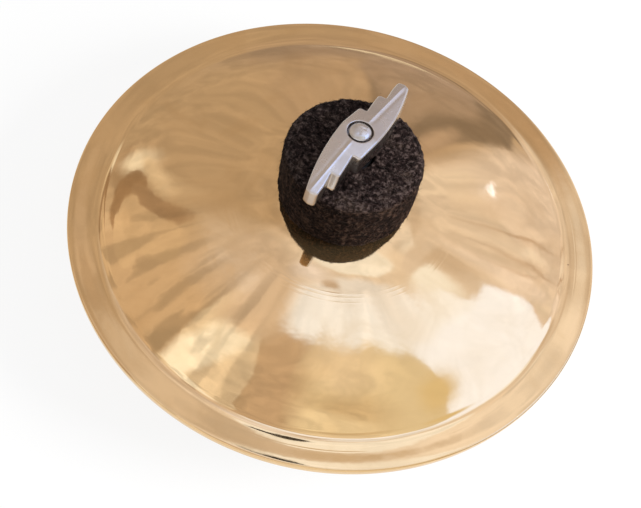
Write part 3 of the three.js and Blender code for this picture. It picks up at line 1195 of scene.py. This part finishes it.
    def surface(self) -> tuple[np.ndarray, np.ndarray, np.ndarray]:
        """The whole nut as one closed surface.

        Neighbouring rows are joined by four-sided faces. The wings' underside and their roof
        are filled with triangles.

        Returns:
            Points, four-sided faces and triangles.
        """
        base, top = span("wing_nut")
        foot = base + self.boss_height
        rows, under, over = self.rows(base, top)
        count = rows.shape[1]
        points = rows.reshape(-1, 3)
        column = np.arange(count)
        after = (column + 1) % count
        start = np.array([i for i in range(len(rows)) if i not in (under, over)])
        here = start[:, None] * count
        above = (start[:, None] + 1) % len(rows) * count
        quads = np.stack([here + column, here + after, above + after, above + column], -1)
        triangles = []
        for row, facing in ((under, -1), (over, 1)):
            ring, plan = (row, row + 1) if facing < 0 else (row + 1, row)
            inner, faces = filled(rows[plan][:, :2], rows[ring][:, :2], self.lattice())
            height = np.full(len(inner), foot) if facing < 0 else self.roof(inner, top)
            number = np.concatenate([plan * count + column, ring * count + column,
                                     len(points) + np.arange(len(inner))])
            triangles.append(number[faces[:, ::facing]])
            points = np.vstack([points, np.column_stack([inner, height])])
        return points, quads.reshape(-1, 4), np.vstack(triangles)

    def build(self) -> None:
        """Makes the nut at its heading and puts it in the place of its plain solid."""
        points, quads, triangles = self.surface()
        turn = np.radians(self.heading)
        x, y = points[:, 0].copy(), points[:, 1].copy()
        points[:, 0] = x * np.cos(turn) - y * np.sin(turn)
        points[:, 1] = x * np.sin(turn) + y * np.cos(turn)
        faces = quads.tolist() + triangles.tolist()
        piece = faces_object("feathered_wing_nut", points, faces, crisp=50)
        dress(piece, self.finish.material())
        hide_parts("wing_nut")
        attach(piece, Body.NUT.value)
        log.info("wing nut: %d points", len(piece.data.vertices))


def thread(height: np.ndarray, turn: np.ndarray, pitch: float) -> np.ndarray:
    """Depth of a thread's groove as a share of its whole depth.

    A rounded triangle wave of the height in pitches less the turns round the axis.

    Args:
        height: heights along the axis.
        turn: angles round it.
        pitch: rise of one turn.

    Returns:
        From 0 at the crest to 1 at the root.
    """
    phase = 2 * np.pi * height / pitch - turn
    return np.arccos(np.cos(phase) * 0.96) / np.pi


@dataclass
class ThreadedRod:
    """The rod, threaded from end to end, its upper end domed, rimmed and knocked about."""

    finish: CastMetal
    radius: float = 3.0
    pitch: float = 1.0
    depth: float = 0.5
    chamfer: float = 0.6
    head: float = 0.8
    rim: float = 0.48
    dome: float = 0.42
    dent: float = 0.035
    columns: int = 48

    def build(self) -> None:
        """Makes the rod: rows up the thread between two closed ends."""
        base, top = span("mount_rod")
        turn = full_turn(self.columns)
        core = self.radius - self.chamfer
        start, end = base + self.chamfer, top - self.head
        height = np.arange(start, end, self.pitch / 10)[:, None]
        run = np.minimum(height - start, end - height)
        fade = np.clip(run / self.pitch, 0, 1)
        radius = self.radius - self.depth * fade * thread(height, turn, self.pitch)
        side = around(radius, turn, height)
        foot = turned(np.array([(0, base), (core, base)]), self.columns)
        share = np.linspace(0, 1, 12)
        rim = self.radius - self.rim
        domed = np.stack([rim * (1 - share), top - self.dome * (1 - share) ** 4], 1)
        shoulder = np.array([(self.radius - 0.02, top - 0.75), (self.radius - 0.38, top - 0.5)])
        head = turned(np.vstack([shoulder, domed]), self.columns)
        random = np.random.default_rng(5)
        dents = soft_noise(head.shape[:2], (4, 7), random)
        head[..., 2] -= self.dent * np.clip(dents - 0.3, 0, 2) * (head[..., 2] > top - 0.6)
        head[-1, :, 2] = head[-1, 0, 2]
        piece = grid_object("threaded_rod", np.vstack([foot, side, head]), Ends.POLES, crisp=60)
        dress(piece, self.finish.material())
        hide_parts("mount_rod")
        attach(piece, Body.MOUNT.value)
        log.info("threaded rod: %d points", len(piece.data.vertices))


@dataclass
class HexPiece:
    """Hexagonal bar with chamfered corners and a threaded hole."""

    node: str
    finish: bpy.types.Material
    flats: float
    bores: list[Triple]
    chamfer: float = 0.7
    chamfer_angle: float = 30
    corner_round: float = 0.25
    corner_ease: float = 0.04
    mouth: float = 0.35
    thread_depth: float = 0.35
    pitch: float = 1.0

    def side_radius(self, turn: np.ndarray) -> np.ndarray:
        """Distance from the axis to the hexagon's side.

        Half the flats over the cosine of the angle from the middle of the side, eased off just
        before the corners.

        Args:
            turn: angles round the axis.

        Returns:
            Radii of the same shape.
        """
        off = np.mod(turn, np.pi / 3) - np.pi / 6
        sharp = self.flats / 2 / np.cos(off)
        limit = self.flats / np.sqrt(3) - self.corner_round * 0.5
        ease = self.corner_ease
        return -ease * np.logaddexp(-sharp / ease, -limit / ease)

    def build(self) -> None:
        """Makes the bar: out along its foot, up its sides, in over its top, down its bores."""
        base, top = span(self.node)
        fine = np.linspace(-1, 1, 13, endpoint=False)
        crowded = np.sign(fine) * (1 - (1 - np.abs(fine)) ** 1.8) * np.pi / 6
        turn = (np.arange(6)[:, None] * np.pi / 3 + crowded + np.pi / 6).ravel()
        side = self.side_radius(turn)
        trim = self.flats / np.sqrt(3) - self.chamfer
        drop = np.maximum(side - trim, 0) * np.tan(np.radians(self.chamfer_angle))
        rows: list[np.ndarray] = []

        def add(radius: Any, height: Any) -> None:
            """Adds one row of a radius and a height at each angle."""
            rows.append(around(radius, turn, height))

        # narrow rows on both sides of an edge keep the shading crisp there
        inner = np.minimum(side - 0.06, trim)
        add(self.bores[0][0] + self.mouth, base)
        add(inner - 0.15, base)
        add(inner, base + 0.01)
        add(side, base + drop + 0.06)
        add(side, base + drop + 0.25)
        for share in np.linspace(0, 1, 6)[1:-1]:
            add(side, base + (top - base) * share)
        add(side, top - drop - 0.25)
        add(side, top - drop - 0.06)
        add(inner, top - 0.01)
        add(inner - 0.15, top)
        add(self.bores[-1][0] + self.mouth, top)
        for radius, low, high in reversed(self.bores):
            for height in np.arange(high - 0.3, low + 0.3, -self.pitch / 8):
                groove = thread(np.array(height), turn, self.pitch) * self.thread_depth
                add(radius + self.thread_depth / 2 - groove, height)
        piece = grid_object(f"{self.node}_hex", np.stack(rows), crisp=24)
        dress(piece, self.finish)
        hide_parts(self.node)
        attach(piece, Body.MOUNT.value)
        log.info("%s: %d points", self.node, len(piece.data.vertices))


@dataclass
class TurnedPiece:
    """Round piece given by its section: a washer, a cup or a sleeve."""

    node: str
    body: Body
    slot: Slot
    finish: bpy.types.Material
    section: list[Triple]
    columns: int = 128

    def build(self) -> None:
        """Carries the section, with its rounded corners, round the axis."""
        outline = refined(rounded(self.section, 7), 1.2)
        piece = grid_object(f"{self.node}_turned", turned(outline, self.columns), crisp=50)
        dress(piece, self.finish)
        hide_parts(self.node)
        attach(piece, self.body.value)
        log.info("%s: %d points", self.node, len(piece.data.vertices))


@dataclass
class ClampStack:
    """What is clamped on the rod beneath the cymbal and inside its hole, and the felts."""

    felt_bore: float = 5.45
    sleeve_inner: float = 3.35
    sleeve_outer: float = 4.95
    sleeve_flange: float = 7.5
    sleeve_flange_thickness: float = 1.0
    felt_gap: float = 0.3
    cup_thickness: float = 1.2
    thread_hole: float = 3.1
    washer_radius: float = 4.9
    felt_round: float = 1.4
    rock_room: float = 0.9
    rock_height: float = 7
    nut_flats: float = 10
    coupling_flats: float = 13
    socket_radius: float = 4.05
    socket_depth: float = 12

    def felts(self) -> list[FeltDisc]:
        """The thick upper felt, and the lower one that is crowned to fit the dome.

        Returns:
            Both discs.
        """
        felt, fibre = CharcoalFelt().material(), FeltFibre().material()
        low, high = span("upper_felt")
        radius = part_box("upper_felt")[1].x / MM
        bore, edge = self.felt_bore, self.felt_round
        upper = FeltDisc(
            "upper_felt", felt, fibre,
            [(bore, low, 0.3), (radius, low, 2.2), (radius, high, 2.2), (bore, high, 0.3),
             (bore + self.rock_room, low + self.rock_height, 0.3)],
            (high, low), (Body.FELTS, Body.CYMBAL), fibres=4000, seed=11)
        base, top = span("lower_felt")
        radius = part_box("lower_felt")[1].x / MM
        hollow = self.sleeve_flange + self.felt_gap
        hollow_top = span("cup_washer")[0] + self.cup_thickness + self.sleeve_flange_thickness
        hollow_top += self.felt_gap
        shoulder = top - (radius ** 2 - bore ** 2) / (2 * BellCymbal.crown_radius)
        lower = FeltDisc(
            "lower_felt", felt, fibre,
            [(bore, hollow_top, 0.2), (hollow, hollow_top, 0.2), (hollow, base, 0.3),
             (radius, base, 0.8), (radius, shoulder, edge), (bore, top, 0.3)],
            (base, top), (Body.FELTS, Body.CYMBAL), fibres=1400, seed=23,
            columns=220, spacing=0.5, fibre_lift=0.1, hump=0.08)
        return [upper, lower]

    def turned_pieces(self, zinc: bpy.types.Material, steel: bpy.types.Material,
                      nylon: bpy.types.Material) -> list[TurnedPiece]:
        """The cup washer, the nut's washer and the sleeve.

        Args:
            zinc: finish of the cup washer.
            steel: finish of the nut's washer.
            nylon: finish of the sleeve.

        Returns:
            The three pieces.
        """
        base, lip = span("cup_washer")
        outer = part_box("cup_washer")[1].x / MM
        wall = self.cup_thickness
        cup = [(self.thread_hole, base, 0.15), (outer, base, wall), (outer, lip, 0.4),
               (outer - wall, lip, 0.4), (outer - wall, base + wall, 0.3),
               (self.thread_hole, base + wall, 0.15)]
        low, high = span("nut_washer")
        washer = [(self.thread_hole, low, 0.1), (self.washer_radius, low, 0.2),
                  (self.washer_radius, high, 0.25), (self.thread_hole, high, 0.15)]
        foot, end = span("hole_sleeve")
        flange = foot + self.sleeve_flange_thickness
        sleeve = [(self.sleeve_inner, foot, 0.2), (self.sleeve_flange, foot, 0.2),
                  (self.sleeve_flange, flange, 0.3), (self.sleeve_outer, flange, 0.3),
                  (self.sleeve_outer, end, 0.4), (self.sleeve_inner, end, 0.2)]
        return [
            TurnedPiece("cup_washer", Body.MOUNT, Slot.ZINC, zinc, cup),
            TurnedPiece("nut_washer", Body.NUT_CARRIER, Slot.STEEL, steel, washer, 96),
            TurnedPiece("hole_sleeve", Body.MOUNT, Slot.NYLON, nylon, sleeve, 96),
        ]

    def hex_pieces(self, zinc: bpy.types.Material) -> list[HexPiece]:
        """The jam nut and the coupling, whose lower socket is wider.

        Args:
            zinc: their finish.

        Returns:
            Both pieces.
        """
        nut_low, nut_high = span("jam_nut")
        low, high = span("stand_coupling")
        socket_end = low + self.socket_depth
        return [
            HexPiece("jam_nut", zinc, self.nut_flats, [(self.thread_hole, nut_low, nut_high)]),
            HexPiece("stand_coupling", zinc, self.coupling_flats, [
                (self.socket_radius, low, socket_end), (self.thread_hole, socket_end, high)]),
        ]

    def build(self) -> None:
        """Makes the whole stack."""
        zinc = CastMetal("zinc_steel", (0.66, 0.65, 0.60), (0.55, 0.53, 0.46), 0.3,
                         grain_scale=1.2).material()
        steel = CastMetal("washer_steel", (0.62, 0.61, 0.60), (0.5, 0.49, 0.47), 0.25).material()
        nylon = BlackNylon().material()
        for piece in (*self.felts(), *self.turned_pieces(zinc, steel, nylon),
                      *self.hex_pieces(zinc)):
            piece.build()


# The studio


@dataclass(frozen=True)
class SoftPatch:
    """A patch of the studio's tent that is lighter or darker than the cloth round it.

    Its place and halves are degrees on a map of the sky, whose middle is straight up, whose
    right is +X and whose top is +Y. It is turned by degrees, its edge fades over softness times
    its size to either side, and amount is how much of its colour shows.
    """

    x: float
    y: float
    half_x: float
    half_y: float
    turn: float
    softness: float
    colour: Colour
    amount: float = 1.0


# The tent's cloth, and what stands out on it. Each patch lies over the ones before it.
TENT_CLOTH: Colour = (0.585, 0.505, 0.445)
TENT_PATCHES = (
    SoftPatch(-6, 84, 26, 15, 0, 0.6, (0.42, 0.36, 0.35)),
    SoftPatch(10, 88, 9, 3.5, 0, 0.6, (0.72, 0.65, 0.66)),
    SoftPatch(36, 38, 24, 25, 0, 0.2, (0.95, 0.97, 1.15)),
    SoftPatch(48, 54, 24, 20, -15, 0.25, (0.93, 0.93, 1.12)),
    SoftPatch(50, 61, 2, 7, 22, 0.4, (1.30, 1.50, 1.90)),
    SoftPatch(41, 5.5, 23.6, 23.6, 0, 0.03, (0.92, 0.90, 1.08)),
    SoftPatch(41, 5, 23, 23, 0, 0.03, (1.24, 1.59, 2.66)),
    SoftPatch(18, -14, 20.5, 19.5, 0, 0.03, (0.90, 0.905, 0.85)),
    SoftPatch(32, -3, 4.5, 6.5, 25, 0.6, (0.87, 0.82, 0.63)),
    SoftPatch(14, -15, 9, 6, 0, 0.8, (0.76, 0.70, 0.60)),
    SoftPatch(12, -21, 13, 3.5, 0, 0.7, (1.00, 1.00, 0.96)),
    SoftPatch(9, -3, 7, 6, 0, 0.8, (1.00, 0.98, 0.98)),
    SoftPatch(-5, -12, 7, 24, 0, 0.7, (0.66, 0.56, 0.51)),
    SoftPatch(-19, -12, 9.5, 19, -15, 0.03, (0.92, 0.90, 0.92)),
    SoftPatch(-45, 29, 13.2, 18, 0, 0.03, (0.53, 0.45, 0.40)),
    SoftPatch(-45.2, 28.6, 12.5, 17.3, 0, 0.05, (0.72, 0.63, 0.57)),
    SoftPatch(-41, 7, 19.5, 15, 0, 0.1, (0.68, 0.58, 0.51)),
    SoftPatch(-22, -8.5, 16, 4.5, 42, 0.3, (1.18, 1.30, 1.55)),
    SoftPatch(2, 30, 31.5, 31.2, 0, 0.02, (1.23, 1.54, 2.42)),
    SoftPatch(0.2, 35, 33.0, 33.2, 0, 0.02, (0.97, 0.98, 1.14)),
    SoftPatch(-11.5, 1.5, 6.5, 3.0, -10, 0.4, (0.80, 0.74, 0.76)),
    SoftPatch(20.8, 28.5, 3.2, 6.0, -12, 0.5, (1.15, 1.28, 1.66), 0.8),
    SoftPatch(28, 36, 8.5, 12.0, 0, 0.06, (0.90, 0.90, 1.05)),
    SoftPatch(27.4, 23.2, 8.8, 4.5, 52, 0.08, (0.90, 0.90, 1.05)),
    SoftPatch(30.2, 25.6, 5.0, 1.5, 52, 0.6, (0.74, 0.69, 0.72), 0.8),
    SoftPatch(27.8, 18.3, 5.0, 1.3, 56, 0.5, (1.20, 1.42, 1.95)),
    SoftPatch(10, 5.5, 13, 2.4, 14, 0.5, (1.06, 1.24, 1.80)),
    SoftPatch(3, 4.4, 2.6, 1.3, 0, 0.5, (0.72, 0.67, 0.72)),
    SoftPatch(-4, 6.5, 6, 2.6, 0, 0.6, (1.02, 1.10, 1.50)),
    SoftPatch(-17, 10, 12, 5, -38, 0.6, (0.74, 0.70, 0.76)),
    SoftPatch(-16, 44, 28, 27, 0, 0.2, (0.60, 0.515, 0.455)),
    SoftPatch(0.5, 34.5, 22.3, 21.3, 0, 0.04, (0.52, 0.44, 0.39), 0.32),
    SoftPatch(9, 30, 9.6, 15.5, 8, 0.12, (1.03, 1.08, 1.32)),
    SoftPatch(-8, 29, 8.8, 10.5, 12, 0.10, (0.68, 0.595, 0.56)),
    SoftPatch(-11, 27, 4, 4.5, 0, 0.1, (0.60, 0.51, 0.46)),
    SoftPatch(-7, 20, 7, 4.2, -25, 0.2, (0.76, 0.73, 0.78)),
    SoftPatch(7.5, 13.8, 12, 5.0, 10, 0.08, (1.18, 1.37, 1.84)),
    SoftPatch(6, 21.0, 5.5, 1.5, 20, 0.4, (0.76, 0.70, 0.67)),
    SoftPatch(12.4, 33, 2.2, 4.5, -12, 0.1, (0.84, 0.80, 0.82)),
    SoftPatch(12.6, 33.3, 1.7, 3.9, -12, 0.1, (1.05, 1.12, 1.38)),
    SoftPatch(9, 44.5, 7, 5.5, 25, 0.4, (0.56, 0.46, 0.40)),
    SoftPatch(2, 66, 22, 18, 0, 0.2, (0.565, 0.48, 0.44)),
    SoftPatch(16, 77.8, 18, 15.5, 0, 0.06, (0.28, 0.24, 0.235), 0.96),
    SoftPatch(11, 79.5, 14, 12, 0, 0.12, (0.46, 0.40, 0.41)),
    SoftPatch(16.8, 63.6, 3.2, 2.4, 0, 0.5, (0.54, 0.46, 0.45)),
    SoftPatch(42, 31.5, 10, 2.6, 3, 0.5, (1.02, 1.05, 1.34)),
    SoftPatch(42, 40.4, 8, 1.6, 8, 0.6, (1.05, 1.10, 1.36)),
    SoftPatch(41, 43.8, 9, 0.5, 14, 0.6, (0.60, 0.52, 0.52), 0.9),
    SoftPatch(43, 37.2, 8.5, 0.6, 3, 0.6, (0.62, 0.54, 0.55), 0.9),
    SoftPatch(41, 34.0, 7, 0.4, 10, 0.6, (0.74, 0.68, 0.76), 0.8),
    SoftPatch(29.9, 51.9, 0.32, 2.0, 26, 0.5, (1.8, 2.2, 3.6)),
    SoftPatch(-50, 38, 3.2, 7, 0, 0.3, (0.50, 0.41, 0.35)),
    SoftPatch(-44.5, 39.6, 5.5, 3.2, 0, 0.7, (1.06, 1.11, 1.22)),
    SoftPatch(-38, 35.6, 6.5, 1.8, -46, 0.6, (0.88, 0.82, 0.78)),
    SoftPatch(-45, 27, 7, 10, 0, 0.04, (0.42, 0.31, 0.235)),
    SoftPatch(-38, 27.6, 8.2, 3.3, -38, 0.06, (0.45, 0.345, 0.28)),
    SoftPatch(-44.3, 20, 5.5, 10.4, 0, 0.04, (0.74, 0.64, 0.56)),
    SoftPatch(-38.6, 20.4, 10, 5.4, -36, 0.05, (0.72, 0.62, 0.54)),
    SoftPatch(0, -78, 85, 40, 0, 0.2, (1.0, 1.0, 1.08)),
    SoftPatch(90, 0, 24, 50, 0, 0.2, (0.15, 0.13, 0.12)),
    SoftPatch(1.3, 13.0, 1.5, 2.2, 30, 0.12, (0.012, 0.01, 0.008)),
    SoftPatch(-0.8, 13.6, 1.9, 0.9, -25, 0.15, (0.02, 0.015, 0.012)),
)


@dataclass(frozen=True)
class StudioSky:
    """White backdrop, plain soft light, and the light tent that shows in polished metal."""

    light: float = 0.64
    low_share: float = 0.10
    waver: float = 3.0
    fold_height: float = 34

    def build(self) -> None:
        """Writes the world's graph.

        The background is white for the camera. Gloss sees a tent of cloth in soft light, given
        on a map of the sky by the angle from straight up. Dull surfaces get soft light, most of
        it from above.
        """
        world = bpy.data.worlds.new("studio")
        bpy.context.scene.world = world
        world.use_nodes = True
        graph = Graph(world.node_tree)
        x, y, z = graph.parts(graph.node("ShaderNodeTexCoord", output="Generated"))
        flat = (x * x + y * y) ** 0.5 + 1e-6
        angle = z.math("ARCCOSINE", z) * np.degrees(1)
        map_x, map_y = x / flat * angle, y / flat * angle
        place = graph.vector(map_x, map_y)
        waver = graph.noise(place, 0.12, detail=2, roughness=0.4).sibling("Color")
        reach = self.waver
        shift = graph.node("ShaderNodeVectorMath", {"operation": "MULTIPLY_ADD"},
                           {0: waver, 1: (reach, reach, 0), 2: place})
        moved_x, moved_y, _ = graph.parts(shift)
        tent = self.patched(graph, moved_x - reach / 2, moved_y - reach / 2)
        tent = self.folded(graph, tent, map_x, map_y)
        rays = graph.node("ShaderNodeLightPath", output="Is Camera Ray")
        soft = (z.between(-0.1, 1.0) * (1 - self.low_share) + self.low_share) * self.light
        even = graph.node("ShaderNodeCombineColor", inputs={0: soft, 1: soft, 2: soft})
        seen = graph.mixed(rays.sibling("Is Glossy Ray"), even, tent)
        clear = rays.math("MAXIMUM", rays, rays.sibling("Is Transmission Ray"))
        colour = graph.mixed(clear, seen, (1, 1, 1))
        shine = graph.node("ShaderNodeBackground", inputs={"Color": colour, "Strength": 1.0})
        graph.node("ShaderNodeOutputWorld", inputs={"Surface": shine})

    def folded(self, graph: Graph, tent: Field, x: Field, y: Field) -> Field:
        """Draws the cloth's folds, which fan out on the left from its middle.

        The folds are noise of the angle round the middle, stretched along the way out.

        Args:
            graph: the world's graph.
            tent: the tent's colour so far.
            x: map place to the right.
            y: map place to the back.

        Returns:
            The tent's colour with its folds.
        """
        up = y - self.fold_height
        angle = x.math("ARCTAN2", up, x * -1)
        reach = (x * x + up * up) ** 0.5
        lay = graph.vector(angle * 10, reach * 0.03)
        fold = graph.noise(lay, 1, detail=2.5, roughness=0.5, distortion=0.1)
        off = fold - 0.5
        crest = ((off * off) ** 0.5).between(0.03, 0.0)
        shade = fold.between(0.41, 0.58) * 0.34 + 0.82 + crest * 0.16
        mask = x.between(-8, -11) * y.between(28, 22) * reach.between(31, 34)
        tent = graph.mixed(mask, tent, shade, blend="MULTIPLY")
        crease = graph.noise(graph.vector(x * 0.09, y * 0.16), 1, detail=4, roughness=0.62,
                             distortion=1.4)
        soft = crease.between(0.3, 0.7) * 0.28 + 0.86
        calm = (x.between(16, 26) * y.between(30, 22)
                + x.between(-22, -28) * y.between(24, 16)) * 0.8
        return graph.mixed(1 - calm, tent, soft, blend="MULTIPLY")

    def patched(self, graph: Graph, x: Field, y: Field) -> Field:
        """Lays the tent's patches over its cloth, one after the other.

        Args:
            graph: the world's graph.
            x: map place to the right.
            y: map place to the back.

        Returns:
            The tent's colour.
        """
        colour: Any = TENT_CLOTH
        for patch in TENT_PATCHES:
            turn = np.radians(patch.turn)
            across, up = x - patch.x, y - patch.y
            u = (across * np.cos(turn) + up * np.sin(turn)) / patch.half_x
            v = (up * np.cos(turn) - across * np.sin(turn)) / patch.half_y
            reach = (u * u + v * v) ** 0.5
            mask = reach.between(1 + patch.softness, 1 - patch.softness)
            colour = graph.mixed(mask * patch.amount, colour, patch.colour)
        return colour


@dataclass
class Studio:
    """Pale floor, soft lamps and the camera."""

    floor_colour: Colour = (0.96, 0.96, 0.96)
    floor_size: float = 6.0
    shadow_kept: float = 0.12
    tilt: float = -32.78451326
    roll: float = -14.47988772
    rim_seen_at: Triple = (4.454, 8.838, -370.798)
    focal_pixels: float = 1286.216
    picture_pixels: int = 641
    sensor_width: float = 36

    def floor(self) -> None:
        """Makes the floor: dull and pale, and white to the camera but for a faint shadow."""
        half = self.floor_size / 2
        mesh = bpy.data.meshes.new("studio_floor")
        mesh.from_pydata([(-half, -half, 0), (half, -half, 0), (half, half, 0), (-half, half, 0)],
                         [], [(0, 1, 2, 3)])
        floor = bpy.data.objects.new("studio_floor", mesh)
        bpy.context.scene.collection.objects.link(floor)
        material, graph = new_graph("studio_floor")
        dull = graph.node("ShaderNodeBsdfDiffuse", inputs={"Color": (*self.floor_colour, 1)})
        white = graph.node("ShaderNodeEmission", inputs={"Color": (1, 1, 1, 1), "Strength": 1.0})
        rays = graph.node("ShaderNodeLightPath", output="Is Camera Ray")
        seen = rays.math("MAXIMUM", rays, rays.sibling("Is Glossy Ray"))
        seen = rays.math("MAXIMUM", seen, rays.sibling("Is Transmission Ray"))
        mix = graph.node("ShaderNodeMixShader", inputs={
            0: seen * (1 - self.shadow_kept), 1: dull, 2: white})
        graph.node("ShaderNodeOutputMaterial", inputs={"Surface": mix})
        floor.data.materials.append(material)

    def lamp(self, name: str, place: Triple, aim: Triple, size: float, power: float) -> None:
        """Adds a soft square lamp that gloss doesn't see.

        Args:
            name: the lamp's name.
            place: where it is, in metres.
            aim: the point it faces.
            size: length of its sides.
            power: watts.
        """
        data = bpy.data.lights.new(name, "AREA")
        data.shape = "SQUARE"
        data.size = size
        data.energy = power
        lamp = bpy.data.objects.new(name, data)
        bpy.context.scene.collection.objects.link(lamp)
        back = unit(np.array(place, float) - np.array(aim, float))
        side = unit(np.cross((0.0, 0.0, 1.0), back))
        up = np.cross(back, side)
        turn = np.eye(4)
        turn[:3, :3] = np.stack([side, up, back], 1)
        turn[:3, 3] = place
        lamp.matrix_world = Matrix(turn.tolist())
        lamp.visible_glossy = False

    def camera(self) -> None:
        """Places the camera by the photograph's view: its tilt, its roll and its distance."""
        tilt, roll = np.radians([self.tilt, self.roll])
        about_x = np.array([[1, 0, 0], [0, np.cos(tilt), -np.sin(tilt)],
                            [0, np.sin(tilt), np.cos(tilt)]])
        about_z = np.array([[np.cos(roll), -np.sin(roll), 0],
                            [np.sin(roll), np.cos(roll), 0], [0, 0, 1]])
        turn = about_z @ about_x
        rim_height = span("bell_cymbal")[0] + BellCymbal.wall
        stand = -turn.T @ np.array(self.rim_seen_at) + [0, 0, rim_height]
        pose = np.eye(4)
        pose[:3, :3] = turn.T
        pose[:3, 3] = stand * MM
        data = bpy.data.cameras.new("photo_camera")
        data.sensor_fit = "HORIZONTAL"
        data.sensor_width = self.sensor_width
        data.lens = self.focal_pixels * self.sensor_width / self.picture_pixels
        data.clip_start = 0.01
        camera = bpy.data.objects.new("photo_camera", data)
        bpy.context.scene.collection.objects.link(camera)
        camera.matrix_world = Matrix(pose.tolist())
        bpy.context.scene.camera = camera

    def build(self) -> None:
        """Sets up the whole studio."""
        self.floor()
        self.lamp("key_lamp", (0.62, -0.08, 0.42), (0, 0, 0.05), 0.3, 7.5)
        self.lamp("fill_lamp", (-0.5, -0.25, 0.6), (0, 0, 0.05), 0.6, 0.5)
        StudioSky().build()
        self.camera()
        bpy.context.scene.view_settings.view_transform = "Standard"


def main() -> None:
    """Builds the studio and every piece."""
    logging.basicConfig(level=logging.INFO, format="%(name)s: %(message)s")
    Studio().build()
    BellCymbal(PolishedBronze()).build()
    ClampStack().build()
    WingNut(CastMetal("satin_die_cast", (0.63, 0.575, 0.525), (0.54, 0.49, 0.45), 0.26,
                      0.06)).build()
    ThreadedRod(CastMetal("bright_steel", (0.68, 0.645, 0.61), (0.50, 0.47, 0.44), 0.24)).build()


if __name__ == "__main__":
    main()
